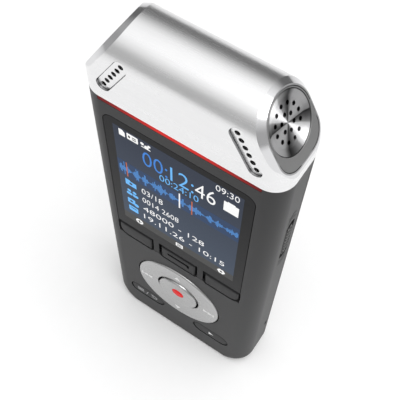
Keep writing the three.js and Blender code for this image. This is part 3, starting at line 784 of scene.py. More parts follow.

# %% [markdown]
# ## End plates and turned grilles
# Each end face holds a flat plate with a round hole, and in it a turned dish with eighteen
# sound holes. The plate is a ring whose inner edge is a circle and whose outer edge is the
# arch, so one grid from circle to arch makes it. The dish is a profile spun about its axis.
# Turned metal shows bright fans where its lines catch the light. The anisotropic shader gives
# some of that, and painted highlight and painted shade in sectors of the colour make it stronger.
# These painted tones stay where they are when the view moves, which real fans do not: that is the price of
# this short cut.

# %% End plates
def arch_reach(turn, inset):
    """How far the arch is from its centre in each direction t. It is found by following the
    outline's own points, which are in order of angle, and reading off their distances."""
    outline = arch(inset, steps=256)
    angle = np.mod(np.arctan2(outline[:, 1], outline[:, 0]), 2 * np.pi)
    order = np.argsort(angle)
    return np.interp(turn, angle[order], np.linalg.norm(outline, axis=1)[order], period=2 * np.pi)


def end_plate(side, label):
    """The plate in one end face: rays from its centre, from the hole's edge out to the arch."""
    turn = np.arange(192) * 2 * np.pi / 192
    ray = np.column_stack([np.cos(turn), np.sin(turn)])
    inner_r = GRILLE_R + 0.12
    edge = 0.05
    outer, outer_edge = arch_reach(turn, 0.42), arch_reach(turn, 0.42 + edge)
    layers = [(inner_r, -1.0), (inner_r, -edge), (inner_r + edge, 0.0), (outer_edge, 0.0),
              (outer, -edge), (outer, -1.0)]
    rows = [on_end(side, raised(ray * np.broadcast_to(r, 192)[:, None], out)) for r, out in layers]
    piece = shade_soft(make_piece(f"end_plate_skin_{label}", np.stack(rows), loop=True))
    piece.data.materials.append(plate_metal)
    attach(piece, "case")
    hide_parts(f"end_plate_{label}")
    return piece


plates = [end_plate(1, "right"), end_plate(-1, "left")]
print("plates", [len(p.data.polygons) for p in plates])

# %% Grille metal, with lines that run round
def turn_map(piece, centre, right, up, name="turn"):
    """Writes a map whose first value grows round an axis and whose second grows outwards."""
    mesh = piece.data
    points, face, _ = corners_of(mesh)
    across, rise = (points - centre) @ right, (points - centre) @ up
    turn = np.mod(np.arctan2(rise, across) / (2 * np.pi), 1.0)
    highest = np.zeros(len(mesh.polygons))
    np.maximum.at(highest, face, turn)
    turn = np.where(highest[face] - turn > 0.5, turn + 1, turn)
    layer = mesh.uv_layers.new(name=name)
    layer.data.foreach_set("uv", np.column_stack([turn, np.hypot(across, rise) / 10]).ravel())


turned_metal = brushed("turned_grille", (0.92, 0.92, 0.93), 0.42, (3, 350, 1), contrast=0.10, bump=0.1,
                       lines_map="turn", Anisotropic=1.0, Anisotropic_Rotation=0.25)


def ramp_values(tree, value, stops):
    """A curve through (place, brightness) stops, as a colour ramp."""
    node = add_node(tree, "ShaderNodeValToRGB", _0=value)
    first, last = node.color_ramp.elements[0], node.color_ramp.elements[1]
    first.position, last.position = stops[0][0], stops[-1][0]
    first.color, last.color = (*[stops[0][1]] * 3, 1), (*[stops[-1][1]] * 3, 1)
    for place, level in stops[1:-1]:
        node.color_ramp.elements.new(place).color = (level, level, level, 1)
    return node.outputs[0]


def add_painted_fans(material, stops):
    """Paints highlight and shade into a turned finish's colour, in sectors that repeat every half turn."""
    tree = material.node_tree
    shader = tree.nodes["Principled BSDF"]
    toned = shader.inputs["Base Color"].links[0].from_socket
    own_map = add_node(tree, "ShaderNodeUVMap", {"uv_map": "turn"}).outputs[0]
    part_turn = add_node(tree, "ShaderNodeSeparateXYZ", _0=own_map).outputs[0]
    half_turns = maths(tree, "FRACT", maths(tree, "MULTIPLY", part_turn, 2.0))
    level = ramp_values(tree, half_turns, stops)
    both = add_node(tree, "ShaderNodeMix", {"data_type": "RGBA", "blend_type": "MULTIPLY"},
                    _0=1.0, _6=toned, _7=level)
    tree.links.new(both.outputs[2], shader.inputs["Base Color"])


# Each pair is a share of the half turn and the painted tone there: one painted highlight fan, and two dark
# edges of painted shade.
PAINTED_FAN_TONES = [(0.0, 0.47), (0.25, 0.42), (0.31, 0.14), (0.333, 0.05), (0.37, 0.12),
                (0.43, 0.30), (0.51, 0.50), (0.54, 1.0), (0.765, 1.0), (0.79, 0.45),
                (0.84, 0.24), (0.89, 0.11), (0.912, 0.03), (0.925, 0.45), (1.0, 0.47)]
add_painted_fans(turned_metal, PAINTED_FAN_TONES)
ring_metal = brushed("turned_ring", (0.44, 0.44, 0.44), 0.28, (2, 300, 1), contrast=0.08, bump=0.05,
                     lines_map="turn", Anisotropic=0.45, Anisotropic_Rotation=0.25)


# %% Grilles
def spin(radius, steps=128):
    """A profile's radii carried round a circle: (r cos t, r sin t) for every r and t."""
    turn = np.arange(steps) * 2 * np.pi / steps
    return np.asarray(radius)[:, None, None] * np.stack([np.cos(turn), np.sin(turn)], axis=-1)


def grille(side, label):
    """A turned microphone cover: a dish r out from its axis is 0.08 (1 - (r / 4.4)^2) deep."""
    floor_out = -0.55
    face_r = np.append(0.02, np.linspace(0.4, 4.4, 11))
    radius = np.concatenate([face_r, [4.46, 4.75, 5.1, 5.50, 5.60, 5.60, 0.02]])
    dished = floor_out - 0.08 * (1 - (face_r / 4.4) ** 2)
    out = np.concatenate([dished, [-0.53, -0.40, -0.26, -0.12, -0.16, -1.6, -1.6]])
    rows = [on_end(side, raised(points, depth)) for points, depth in zip(spin(radius), out)]
    piece = make_piece(f"mic_grille_skin_{label}", np.stack(rows))
    spots = [(r * math.sin(2 * math.pi * i / n), r * math.cos(2 * math.pi * i / n))
             for n, r in ((12, 3.35), (6, 1.64)) for i in range(n)]
    tools = [end_hole(side, x, y, 0.42, -2.4, 0, 20) for x, y in spots]
    dimple = [(circle(0, 0, 0.05, 12), floor_out - 0.35), (circle(0, 0, 0.3, 12), 0)]
    tools.append(end_solid("tool", side, dimple))
    carve(piece, tools)
    shade_soft(piece, 25)
    centre, axes = end_axes(side)
    turn_map(piece, centre, axes[0], axes[1])
    piece.data.materials.append(turned_metal)
    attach(piece, "case")
    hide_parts(f"mic_grille_{label}")
    return piece


grilles = [grille(1, "right"), grille(-1, "left")]
print("grilles", [len(g.data.polygons) for g in grilles])


# %% Perforated strips in the slots
def strip(side, label):
    """A strip whose face fills the slot, over a wider foot that is held behind it."""
    outline = slot_outline(side, -0.35)
    face = slot_outline(side, 0.06)
    layers = [(outline, 1.6), (outline, 0.97), (face, 0.97), (face, 0.55),
              (slot_outline(side, 0.14), 0.47)]
    piece = make_piece(f"mic_strip_skin_{label}", np.stack([at_depth(view, d) for view, d in layers]))
    x, z = outline.mean(axis=0)
    lean = side * END_TILT
    along = SLOT_HALF * 1.05 * (np.arange(6) / 2.5 - 1)
    tools = [prism("tool", circle(x - a * math.sin(lean), z + a * math.cos(lean), 0.56, 20), 0, 2)
             for a in along]
    carve(piece, tools)
    shade_soft(piece, 30)
    piece.data.materials.append(satin_metal)
    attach(piece, "case")
    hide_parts(f"mic_strip_{label}")
    return piece


strips = [strip(1, "right"), strip(-1, "left")]
print("strips", [len(s.data.polygons) for s in strips])

# %% [markdown]
# ## Light bar and display window
# The bar is a thin red light guide: bright where the lamp sits behind it, darker towards its
# ends. The window is one gloss sheet whose edges are eased with a small Bevel modifier, which
# is the simplest way to round the many inner corners of its tabs.

# %% Light bar
bar_red, bar_tree, bar_shader, bar_place = new_material("bar_red")
bar_across = add_node(bar_tree, "ShaderNodeSeparateXYZ", _0=bar_place).outputs[0]
from_middle = maths(bar_tree, "ABSOLUTE", bar_across)
fade = ramp_between(bar_tree, from_middle, 0.004, HALF * MM * 0.78)
grain_dots = add_node(bar_tree, "ShaderNodeTexNoise", Vector=bar_place, Scale=900.0)
uneven = maths(bar_tree, "SUBTRACT", grain_dots.outputs[0])
fade = maths(bar_tree, "ADD", fade, maths(bar_tree, "MULTIPLY", uneven, 0.15))
glow = mix_colours(bar_tree, fade, (0.66, 0.030, 0.024, 1), (0.11, 0.012, 0.012, 1))
bar_tree.links.new(glow, bar_shader.inputs["Emission Color"])
bar_shader.inputs["Emission Strength"].default_value = 0.95
bar_shader.inputs["Base Color"].default_value = (0.05, 0.002, 0.002, 1)
bar_shader.inputs["Roughness"].default_value = 0.25
bar_shader.inputs["Specular IOR Level"].default_value = 0.02


def eased(piece, width, segments=2):
    """Rounds a piece's sharp edges with a live Bevel modifier."""
    bevel = piece.modifiers.new("eased", "BEVEL")
    bevel.width = width * MM
    bevel.segments = segments
    bevel.limit_method = "ANGLE"
    bevel.angle_limit = math.radians(40)
    bevel.harden_normals = True
    piece.data.shade_smooth()
    return piece


bar_view = rounded_outline(bar_low[0] + 0.05, bar_low[2] + 0.05, bar_high[0] - 0.05,
                           BODY_TOP - 0.02, 0.1, 2)
light_bar = eased(prism("light_bar_skin", bar_view, 0.02, 1.55), 0.08)
light_bar.data.materials.append(bar_red)
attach(light_bar, "case")
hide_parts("light_bar")

# %% Display window
display_window = eased(prism("display_window_skin", window_outline(), 0.0, 0.98), 0.10)
display_window.data.materials.append(window_gloss)
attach(display_window, "case")
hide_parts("display_window")
print("window", [round(v, 2) for v in window_outline().max(axis=0)])

# %% [markdown]
# ## Keys
# A key is its outline carried forward, rounded over at its edge and then drawn in towards its
# middle in a shallow crown. The rounding is a quarter circle: at angle t the outline is drawn
# in by r (1 - cos t) and stands r (1 - sin t) behind the key's face.

# %% Key skins
def key_rows(node, front, back, edge=0.35, crown=0.06, top_gap=0.0, foot_gap=0.0,
             side_gap=0.0):
    """Rows of a key skin, whose top, foot and right side may be drawn in for a wider gap."""
    low, high = reach(node)
    middle = np.array([(low[0] + high[0]) / 2, (low[2] + high[2]) / 2])
    turn = np.linspace(0, np.pi / 2, 7)

    def drawn(inset):
        view = key_outline(node, -inset)
        share = (view[:, 1] - low[2]) / (high[2] - low[2])
        view[:, 1] -= top_gap * share + foot_gap * (1 - share)
        view[:, 0] -= side_gap * (view[:, 0] - low[0]) / (high[0] - low[0])
        return view

    rows = [at_depth(drawn(0), back)]
    for t in turn:
        rows.append(at_depth(drawn(edge * (1 - math.cos(t))), front + crown + edge * (1 - math.sin(t))))
    face = drawn(edge)
    for share in (0.85, 0.65, 0.4, 0.15):
        rows.append(at_depth(middle + (face - middle) * share, front + crown * share**2))
    return np.stack(rows)


def finish_key(piece, node, material, body=None, angle=40):
    """Shades a piece, gives it its finish, attaches it to its body and hides the CAD node it replaces."""
    shade_soft(piece, angle)
    piece.data.materials.append(material)
    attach(piece, body or node)
    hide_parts(node)
    return piece


for node in SOFT_KEYS:
    key = make_piece(f"{node}_skin", key_rows(node, 0.05, 2.85, edge=0.5, top_gap=0.60, foot_gap=0.21,
                                               side_gap=0.2))
    if node == "soft_key_centre":
        notch = prism("tool", rounded_outline(-3.1, 46.0, 3.1, 46.9, 0.3, 4), -1, 1.0)
        hook = prism("tool", rounded_outline(2.4, 45.3, 3.1, 46.6, 0.3, 4), -1, 1.0)
        carve(key, [notch, hook])
    finish_key(key, node, anthracite_key)
for node in PILLS:
    finish_key(make_piece(f"{node}_skin", key_rows(node, 0.02, 2.85, edge=0.3)), node, anthracite_key)
print("keys", [*SOFT_KEYS, *PILLS])


# %% Steering ring and record button
def spun_front(profile, steps=160):
    """Spins a profile of (radius, depth) pairs about the ring's axis."""
    radius, depth = np.array(profile, float).T
    rows = [at_depth(points + (0, RING_Z), d) for points, d in zip(spin(radius, steps), depth)]
    return np.stack(rows)


def bulge(start, end, rise, count=14):
    """Radii from start to end with a depth that follows a parabola, highest in the middle."""
    share = np.linspace(0, 1, count)
    radius = start[0] + (end[0] - start[0]) * share
    depth = start[1] + (end[1] - start[1]) * share - rise * 4 * share * (1 - share)
    return list(zip(radius, depth))


ring_face = bulge((6.62, -0.22), (11.75, -0.42), 0.06)
ring_profile = [(6.3, 1.3), (6.3, 0.1), (6.36, -0.1), *ring_face, (12.05, -0.30), (12.22, -0.1),
                (12.3, 0.15), (12.3, 1.3)]
nav_ring = make_piece("nav_ring_skin", spun_front(ring_profile), loop=True)
finish_key(nav_ring, "nav_ring", ring_metal, angle=28)
FACING = (np.array((1.0, 0, 0)), np.array((0, 0, 1.0)))
turn_map(nav_ring, np.array((0, 0, RING_Z)), *FACING)

button_profile = [(0.05, 2.9), (1.4, 2.9), (1.4, 2.4), (BUTTON_R, 2.4), (BUTTON_R, -0.25), (5.72, -0.42),
                  (5.55, -0.56), (5.3, -0.6), (4.95, -0.58)]
button_profile += bulge((4.7, -0.5), (1.78, -0.34), -0.02, 8) + [(1.76, -0.1), (0.05, -0.1)]
record_button = make_piece("record_button_skin", spun_front(button_profile))
finish_key(record_button, "record_button", ring_metal, angle=28)
turn_map(record_button, np.array((0, 0, RING_Z)), *FACING)

dot_red = grained("dot_red", (0.78, 0.010, 0.010), 0.16, scale=3000.0, contrast=0.05, bump=0.02,
                  Specular_IOR_Level=0.05)
turn = np.linspace(0, np.pi / 2, 9)
dome = list(zip(1.74 * np.cos(turn[:-1]), -0.34 - 0.2 * np.sin(turn[:-1]))) + [(0.05, -0.545)]
dot_profile = [(0.05, -0.1), (1.74, -0.1), *dome]
record_dot = make_piece("record_dot_skin", spun_front(dot_profile, 64))
finish_key(record_dot, "record_dot", dot_red, body="record_button", angle=50)
print("ring and button made")

# %% [markdown]
# ## Side switch
# The slider's grip is knurled: two sets of crossing ridges leave small pyramids. Its face is a
# height field: each set is a triangle wave along one diagonal, and the lower of the two waves
# is the height. The grid narrows to a half circle at both ends, so the grip has the same round
# ends as its slot and clears them all the way along.

# %% Knurled slider
def knurl(y, z, pitch=1.3):
    """Height of crossed triangle waves, from 0 to 1."""
    first = np.abs(2 * np.mod((y + z) / pitch, 1.0) - 1)
    second = np.abs(2 * np.mod((y - z) / pitch, 1.0) - 1)
    return np.minimum(first, second)


grip_y = np.linspace(-GRIP_R, GRIP_R, 58)
grip_z = np.linspace(-GRIP + 0.02, GRIP - 0.02, 240)
across, tall = np.meshgrid(grip_y, grip_z, indexing="ij")
past_end = np.maximum(np.abs(tall) - (GRIP - GRIP_R), 0)
wide = across * np.sqrt(1 - (past_end / GRIP_R) ** 2)
from_axis = np.hypot(wide, past_end)
rounded = np.clip((GRIP_R - from_axis) / 0.4, 0, 1) ** 0.5
knurled = knurl(wide, tall) * np.clip((GRIP_R - from_axis) / 0.2, 0, 1)
height = HALF - 0.75 + 0.72 * rounded + 0.34 * knurled
face = np.stack([height, wide + MIDDLE, tall + SWITCH_Z], axis=-1)
count_y, count_z = face.shape[:2]
number = np.arange(count_y * count_z).reshape(count_y, count_z)
rim = np.concatenate([number[:, 0], number[-1, 1:], number[-2::-1, -1], number[0, -2:0:-1]])
front_points = face.reshape(-1, 3)
back_points = front_points[rim].copy()
back_points[:, 0] = switch_low[0]
quads = np.stack([number[:-1, :-1], number[1:, :-1], number[1:, 1:], number[:-1, 1:]], axis=-1)
quads = quads.reshape(-1, 4)
base = len(front_points) + np.arange(len(rim))
sides = np.stack([rim, np.roll(rim, -1), np.roll(base, -1), base], axis=-1)
grip_mesh = bpy.data.meshes.new("side_switch_skin")
grip_mesh.from_pydata((np.concatenate([front_points, back_points]) * MM).tolist(), [],
                      quads.tolist() + sides[:, ::-1].tolist() + [base.tolist()])
held = bmesh.new()
held.from_mesh(grip_mesh)
bmesh.ops.recalc_face_normals(held, faces=held.faces)
held.to_mesh(grip_mesh)
held.free()
outward(grip_mesh)
side_switch = place_piece("side_switch_skin", grip_mesh)
knurled_plastic = grained("knurled_plastic", (0.010, 0.010, 0.010), 0.24, contrast=0.03,
                          Specular_IOR_Level=0.45)
finish_key(side_switch, "side_switch", knurled_plastic, angle=12)
print("slider grid", count_y, "x", count_z)

# %% Arrows beside the slider
def side_mark(name, outlines, front, back):
    """Joins shapes drawn as (y, z) on the right wall into one thin piece."""
    rows = [[np.column_stack([np.full(len(outline), x), outline]) for x in (back, front)]
            for outline in outlines]
    return join_marks(name, (make_piece("mark", np.stack(pair)) for pair in rows))


def chevron(y, z, way, thick):
    """A V of even thickness that points up when way is 1, and down when it is -1."""
    half = [(-1.4, 0), (0, 1.1), (1.4, 0)]
    shape = np.array(half + [(a, b + thick) for a, b in half[::-1]])
    return shape * (1, way) + (y, z)


marks_z = [(SWITCH_Z + way * up, way, thick) for way in (1, -1) for up, thick in ((8.0, 1.0), (9.9, 0.45))]
arrows = side_mark("slider_arrows", [chevron(FRONT + SWITCH_DEPTH, *mark) for mark in marks_z],
                   HALF + 0.03, HALF - 0.15)
arrows.data.materials.append(dark_plastic)
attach(arrows, "case")
print("arrows", len(marks_z))

# %% [markdown]
# ## The lit display
# A display glows instead of being painted, so its picture is made of thin shapes that give
# off light, laid on the window in layers a few hundredths of a millimetre apart. A fine grid
# darkens the edges of each picture dot, which keeps large flat areas from looking like paper.

# %% Dot grid group
grid_group, grid_in, grid_out = new_group(
    "dot_grid",
    [("Vector", VECTOR, (0, 0, 0)), ("Colour", COLOUR, (0.5, 0.5, 0.5, 1)),
     ("Contrast", FLOAT, 0.2)],
    [("Colour", COLOUR)])
DOT_PITCH = 0.00012
axes_of = add_node(grid_group, "ShaderNodeSeparateXYZ", _0=grid_in.outputs["Vector"])
waves = []
for axis in (0, 2):
    step = maths(grid_group, "MULTIPLY", axes_of.outputs[axis], 2 * math.pi / DOT_PITCH)
    waves.append(maths(grid_group, "COSINE", step))
level = maths(grid_group, "MAXIMUM", *waves)
level = maths(grid_group, "MULTIPLY", level, -0.5)
level = maths(grid_group, "MULTIPLY", level, grid_in.outputs["Contrast"])
dots = add_node(grid_group, "ShaderNodeVectorMath", {"operation": "SCALE"}, _0=grid_in.outputs["Colour"],
                Scale=maths(grid_group, "ADD", level, 1.1))
grid_group.links.new(dots.outputs[0], grid_out.inputs["Colour"])


def linear(code):
    """A screen colour such as '3f4355' as three linear values."""
    value = np.array([int(code[i:i + 2], 16) for i in (0, 2, 4)]) / 255
    return tuple(np.where(value > 0.04045, ((value + 0.055) / 1.055) ** 2.4, value / 12.92))


def lit(name, code, lower=None, strength=1.0):
    """A glowing picture colour, or one that changes from the picture's top to its foot."""
    material, tree, shader, place = new_material(name)
    colour = (*linear(code), 1)
    if lower:
        height = add_node(tree, "ShaderNodeSeparateXYZ", _0=place).outputs[2]
        share = ramp_between(tree, height, 0.088, 0.058)
        colour = mix_colours(tree, share, colour, (*linear(lower), 1))
    grid = add_node(tree, "ShaderNodeGroup", {"node_tree": grid_group}, Vector=place,
                    Colour=colour, Contrast=0.2)
    tree.links.new(grid.outputs[0], shader.inputs["Emission Color"])
    shader.inputs["Emission Strength"].default_value = strength
    shader.inputs["Base Color"].default_value = (0.004, 0.004, 0.005, 1)
    shader.inputs["Roughness"].default_value = 0.2
    shader.inputs["Specular IOR Level"].default_value = 0.03
    return material


screen_navy = lit("screen_navy", "2f3644", lower="3b4656")
screen_band = lit("screen_band", "2c405f")
screen_foot = lit("screen_foot", "424241")
screen_white = lit("screen_white", "f4f4f4")
screen_blue = lit("screen_blue", "3f7fd0")
screen_sky = lit("screen_sky", "6ab4f2")
screen_wave = lit("screen_wave", "4c86c8")
screen_orange = lit("screen_orange", "b5623c")
print("screen colours ready")


# %% Shapes and numerals laid on a face
def box_shape(x0, z0, x1, z1, r=0.02):
    """A small rectangle with barely rounded corners."""
    return rounded_outline(x0, z0, x1, z1, r, steps=3)


def inlay(name, outlines, material, front, back, body="case", slot="display"):
    """Joins thin prisms, one for each outline, into one piece."""
    piece = join_marks(name, (prism("mark", np.asarray(outline, float), front, back)
                              for outline in outlines))
    piece.data.materials.append(material)
    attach(piece, body)
    return piece


def numerals(name, lines, material, front, back):
    """Sets lines of digits as one mesh piece. Each line is (text, left, foot, width, height)."""
    held = bmesh.new()
    for text, left, foot, width, height in lines:
        curve = bpy.data.curves.new("digits", "FONT")
        curve.body = text
        curve.resolution_u = 3
        curve.extrude = 0.5
        curve.offset = -0.008
        typed = bpy.data.objects.new("digits", curve)
        bpy.context.scene.collection.objects.link(typed)
        shown = typed.evaluated_get(bpy.context.evaluated_depsgraph_get())
        mesh = bpy.data.meshes.new_from_object(shown)
        spots = np.empty(len(mesh.vertices) * 3)
        mesh.vertices.foreach_get("co", spots)
        spots = spots.reshape(-1, 3)
        low, high = spots.min(axis=0), spots.max(axis=0)
        share = (spots - low) / (high - low)
        placed = np.column_stack([left + share[:, 0] * width,
                                  FRONT + back + share[:, 2] * (front - back),
                                  foot + share[:, 1] * height]) * MM
        mesh.vertices.foreach_set("co", placed.ravel())
        held.from_mesh(mesh)
        bpy.data.objects.remove(typed)
    bmesh.ops.remove_doubles(held, verts=held.verts, dist=1e-7)
    bmesh.ops.recalc_face_normals(held, faces=held.faces)
    mesh = bpy.data.meshes.new(name)
    held.to_mesh(mesh)
    held.free()
    piece = place_piece(name, mesh)
    piece.data.materials.append(material)
    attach(piece, "case")
    return piece


# %% Picture layers
SCREEN_SIDE, SCREEN_FOOT, SCREEN_TOP = 14.8, 53.7, 90.5
BAND_TOP = 56.6
LAYER = (-0.045, -0.02)
inlay("screen_picture", [box_shape(-SCREEN_SIDE, BAND_TOP, SCREEN_SIDE, SCREEN_TOP)], screen_navy,
      -0.012, 0.02)
inlay("screen_foot_band", [box_shape(-SCREEN_SIDE, SCREEN_FOOT, SCREEN_SIDE, BAND_TOP)], screen_foot,
      -0.012, 0.02)
inlay("screen_wave_band", [box_shape(-SCREEN_SIDE, 73.1, SCREEN_SIDE, 78.7)], screen_band,
      -0.022, -0.005)

rng = np.random.default_rng(11)
wave_x = np.linspace(-14.3, 14.5, 125)
clusters = np.abs(np.sin(wave_x * 1.05 + 0.8 * np.sin(wave_x * 0.7))) ** 1.6
wave_half = 0.10 + 2.35 * clusters * rng.uniform(0.25, 1.0, len(wave_x)) * np.where(wave_x > 4, 0.62, 1.0)
lean_half = wave_half * rng.uniform(0.75, 1.15, len(wave_x))
inlay("screen_waveform", [box_shape(x - 0.085, 75.85 - a, x + 0.085, 75.85 + b, 0.01)
                          for x, a, b in zip(wave_x, wave_half, lean_half)], screen_wave, -0.04, -0.015)
inlay("screen_markers", [box_shape(x - 0.14, 73.2, x + 0.14, 78.6) for x in (-12.5, 3.6)], screen_orange,
      -0.05, -0.015)
inlay("screen_playhead", [box_shape(0.43, 73.0, 0.75, 78.8)], screen_white, -0.055, -0.015)
print("wave of", len(wave_x), "bars")

# %% Numbers on the display
numerals("screen_hours", [("00:", -8.1, 82.0, 5.9, 4.9)], screen_blue, *LAYER)
numerals("screen_minutes", [("12:", -1.5, 82.0, 5.4, 4.9)], screen_sky, *LAYER)
numerals("screen_seconds", [("46", 4.2, 82.0, 4.7, 4.9), ("09:30", 8.7, 88.2, 5.2, 2.0),
                            ("03/18", -9.1, 69.6, 5.4, 2.1), ("0014 2608", -9.1, 65.9, 9.4, 2.0),
                            ("48000 - 128", -9.1, 62.1, 16.0, 2.0),
                            ("19.11.26 - 10:15", -9.1, 58.4, 21.4, 2.0)],
         screen_white, *LAYER)
numerals("screen_total", [("00:24:10", -4.2, 79.6, 9.3, 2.2)], screen_sky, *LAYER)


# %% Signs on the display
def dash(x0, x1, z, thick=0.62):
    """A short level stroke with round ends."""
    return box_shape(x0, z - thick / 2, x1, z + thick / 2, thick * 0.42)


folder = [(-13.3, 69.7), (-10.5, 69.7), (-10.5, 71.5), (-11.9, 71.5), (-12.2, 71.9), (-13.3, 71.9)]
people = [circle(x, 67.4, 0.5, 16) for x in (-12.6, -11.2)]
people += [box_shape(x - 0.75, 65.6, x + 0.75, 66.6, 0.35) for x in (-12.6, -11.0)]
note = [box_shape(-13.3, 61.9, -11.3, 63.9, 0.2), circle(-11.0, 62.1, 0.65, 16)]
page = [box_shape(-13.2, 58.5, -10.7, 60.6, 0.25)]
inlay("screen_signs", [folder, *people, *note, *page], screen_sky, *LAYER)
sign_marks = [circle(-11.9, 70.7, 0.42, 12), dash(-12.8, -11.1, 59.9, 0.25),
              circle(-12.3, 62.9, 0.4, 12)]
inlay("screen_sign_marks", sign_marks, screen_navy, -0.06, -0.03)
frame_box = [(10.7, 82.8), (14.0, 82.8), (14.0, 86.2), (13.2, 86.2), (13.2, 86.5), (11.5, 86.5),
             (11.5, 86.2), (10.7, 86.2)]
card = [(-13.4, 88.0), (-12.0, 88.0), (-12.0, 89.4), (-12.5, 90.0), (-13.4, 90.0)]
tag = [box_shape(-11.5, 88.1, -8.9, 90.0, 0.15)]
swirl = [circle(-7.9, 89.3, 0.42, 14), circle(-6.9, 88.8, 0.52, 14), circle(-6.3, 89.5, 0.35, 14),
         dash(-8.2, -6.0, 88.3, 0.25)]
foot_signs = [circle(-10.6, 55.05, 1.0, 28), box_shape(-0.5, 54.4, 1.4, 56.0, 0.15),
              *[circle(11.7 + 0.62 * math.cos(t), 55.2 + 0.62 * math.sin(t), 0.42, 12)
                for t in np.arange(6) * math.pi / 3]]
inlay("screen_status", [frame_box, card, *tag, *swirl, *foot_signs], screen_white, *LAYER)
sign_gaps = [dash(-11.2, -10.7, 89.05, 0.8), dash(-10.3, -9.3, 89.3, 0.3),
             dash(-10.3, -9.3, 88.7, 0.3), dash(-11.2, -10.0, 55.05, 0.3),
             box_shape(-10.75, 54.45, -10.45, 55.65, 0.1), dash(-0.2, 1.1, 55.5, 0.3),
             dash(-0.2, 1.1, 54.9, 0.3), circle(11.7, 55.2, 0.38, 14)]
inlay("screen_sign_gaps", sign_gaps, screen_foot, -0.06, -0.03)
print("display done")

# %% [markdown]
# ## Printed marks
# The marks on the ring and lower keys are plain function signs. They are shapes a few
# hundredths of a millimetre thick that ride on their own key, so they move when it is pressed.

# %% Marks on ring and keys
mark_white = grained("mark_white", (0.78, 0.78, 0.78), 0.45, scale=4000.0, contrast=0.04, bump=0.05)
mark_grey = grained("mark_grey", (0.42, 0.42, 0.43), 0.45, scale=4000.0, contrast=0.04, bump=0.05)


def triangle(x, z, size, way):
    """A small triangle pointing along way, an (x, z) direction."""
    along = np.array(way, float)
    across = np.array((-along[1], along[0]))
    corners = np.array([along, across * 0.75 - along * 0.5, -across * 0.75 - along * 0.5])
    return np.array((x, z)) + corners * size


ring_marks = [triangle(-9.9, RING_Z, 0.95, (-1, 0)), triangle(-8.5, RING_Z, 0.95, (-1, 0)),
              box_shape(-11.25, RING_Z - 0.8, -10.9, RING_Z + 0.8), triangle(9.9, RING_Z, 0.95, (1, 0)),
              triangle(8.5, RING_Z, 0.95, (1, 0)), box_shape(10.9, RING_Z - 0.8, 11.25, RING_Z + 0.8),
              triangle(0, RING_Z + 9.3, 1.1, (0, 1)), triangle(0, RING_Z - 9.3, 1.1, (0, -1))]
inlay("ring_marks", ring_marks, mark_white, -0.43, -0.25, body="nav_ring", slot="ring_metal")

PILL_Z = middle_of("menu_button")[1]
menu_x, play_x = middle_of("menu_button")[0], middle_of("play_button")[0]
list_sign = [dash(menu_x - 3.4, menu_x - 1.3, PILL_Z + d, 0.28) for d in (-0.65, 0, 0.65)]
slash = [np.array([(-0.45, -0.9), (-0.2, -0.9), (0.35, 0.9), (0.1, 0.9)]) + (menu_x - 0.1, PILL_Z)]
bend = np.linspace(-np.pi / 2, np.pi / 2, 10)
hook_out = np.column_stack([2.5 + 0.75 * np.cos(bend), 0.75 * np.sin(bend)])
hook_in = np.column_stack([2.5 + 0.48 * np.cos(bend), 0.48 * np.sin(bend)])
hook = np.concatenate([[(1.3, -0.75)], hook_out, [(1.9, 0.75), (1.9, 0.48)], hook_in[::-1], [(1.3, -0.48)]])
back_sign = [hook + (menu_x, PILL_Z), triangle(menu_x + 1.6, PILL_Z + 0.62, 0.6, (-1, 0))]
inlay("menu_marks", [*list_sign, *slash, *back_sign], mark_grey, -0.01, 0.09, body="menu_button",
      slot="case_plastic")
inlay("play_mark", [triangle(play_x, PILL_Z, 1.0, (1, 0))], mark_white, -0.01, 0.09, body="play_button",
      slot="case_plastic")
print("marks on", len(ring_marks), "ring places and two keys")

# %% [markdown]
# ## Back screws
# Four small screws hold the back cover. Each head is a low spun form with a cross cut into it.

# %% Screws
def screw(node):
    """A screw: its profile spun about its axis, with a cross cut into the head."""
    low, high = reach(node)
    x, z = middle_of(node)
    r = (high[0] - low[0]) / 2
    y0, y1 = low[1] - FRONT, high[1] - FRONT
    neck = y1 - 1.1
    profile = [(0.05, y0), (0.85, y0), (0.85, neck), (r, neck + 0.15), (r, y1 - 0.3), (r - 0.08, y1 - 0.12),
               (r - 0.3, y1 - 0.02), (0.05, y1)]
    radius, depth = np.array(profile).T
    rows = [at_depth(points + (x, z), d) for points, d in zip(spin(radius, 48), depth)]
    piece = make_piece(f"{node}_skin", np.stack(rows))
    cuts = [prism("tool", box_shape(x - a, z - b, x + a, z + b, 0.05), y1 - 0.6, y1 + 1)
            for a, b in ((0.85, 0.2), (0.2, 0.85))]
    carve(piece, cuts)
    return finish_key(piece, node, plain_steel, body="case", angle=30)


screws = [screw(node) for node in SCREWS]
print("screws", len(screws))

# %% [markdown]
# ## Parts behind the covers
# The board, cell, sockets and microphones keep their CAD solids, because little of them is
# seen through the openings. They only need their own finishes.

# %% Finishes on carried-over parts
led_lens = grained("led_lens", (0.70, 0.06, 0.04), 0.2, scale=2000.0, contrast=0.05)
panel_glass = grained("panel_glass", (0.02, 0.022, 0.03), 0.1, scale=600.0, contrast=0.05, bump=0.0)
boot_rubber = grained("boot_rubber", (0.02, 0.02, 0.02), 0.85, scale=2500.0)
FINISHES = {
    "main_board": board_green, "keypad_mat": soft_rubber, "processor": dark_plastic,
    "memory_chip": dark_plastic, "status_led": led_lens, "switch_body": dark_plastic,
    "battery_cell": cell_wrap, "speaker": plain_steel, "headphone_jack": dark_plastic,
    "microphone_jack": dark_plastic, "usb_socket": plain_steel, "mic_boot_left": boot_rubber,
    "mic_boot_right": boot_rubber, "mic_capsule_left": plain_steel,
    "mic_capsule_right": plain_steel, "display_panel": panel_glass, "nav_rocker": dark_plastic,
}
for node, finish in FINISHES.items():
    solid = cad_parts[node]
    solid.data.materials.clear()
    solid.data.materials.append(finish)
print(len(FINISHES), "parts keep their CAD solids")

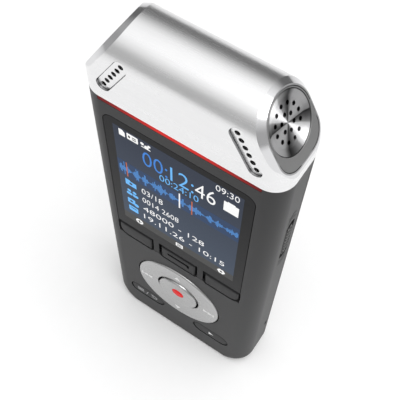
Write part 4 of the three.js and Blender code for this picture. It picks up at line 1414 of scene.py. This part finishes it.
# %% [markdown]
# ## Floor and light
# Polished metal shows whatever stands round it, so the light is mostly a soft sky: bright
# overhead, grey towards the horizon, darker behind than in front. One softbox, high up and
# slightly to the right, gives the floor its white and the recorder a soft shadow.

# %% Floor
floor_mesh = bpy.data.meshes.new("floor")
floor_mesh.from_pydata([(-6, -6, 0), (6, -6, 0), (6, 6, 0), (-6, 6, 0)], [], [(0, 1, 2, 3)])
floor = place_piece("floor", floor_mesh)
floor_white = grained("floor_white", (0.93, 0.93, 0.93), 0.9, scale=300.0, contrast=0.005, bump=0.0)
floor.data.materials.append(floor_white)

# %% Soft sky
sky = bpy.data.worlds.new("soft_sky")
sky.use_nodes = True
sky_tree = sky.node_tree
sky_way = add_node(sky_tree, "ShaderNodeTexCoord").outputs["Generated"]
way = add_node(sky_tree, "ShaderNodeSeparateXYZ", _0=sky_way)
front_share = ramp_between(sky_tree, way.outputs[1], 0.55, -0.35)
horizon = ramp_between(sky_tree, front_share, 0, 1, 0.18, 0.52)
height_share = add_node(sky_tree, "ShaderNodeMapRange", {"interpolation_type": "SMOOTHSTEP"},
                        _0=way.outputs[2], _1=0.40, _2=0.97)
sky_level = add_node(sky_tree, "ShaderNodeMix", {"data_type": "FLOAT"},
                     _0=height_share.outputs[0], _2=horizon, _3=1.22)
backdrop = sky_tree.nodes["Background"]
sky_tree.links.new(sky_level.outputs[0], backdrop.inputs["Strength"])
backdrop.inputs["Color"].default_value = (1, 1, 1, 1)
bpy.context.scene.world = sky


# %% Softbox
def softbox(name, place, size, power):
    """A large lamp aimed at the recorder's middle."""
    lamp = bpy.data.lights.new(name, "AREA")
    lamp.shape = "RECTANGLE"
    lamp.size, lamp.size_y = size
    lamp.energy = power
    stand = bpy.data.objects.new(name, lamp)
    bpy.context.scene.collection.objects.link(stand)
    stand.location = place
    stand.rotation_mode = "QUATERNION"
    stand.rotation_quaternion = (Vector((0, 0, 0.06)) - Vector(place)).to_track_quat("-Z", "Y")


softbox("overhead_softbox", (0.30, -0.06, 1.0), (0.6, 0.6), 4.8)
bpy.context.scene.view_settings.view_transform = "Standard"
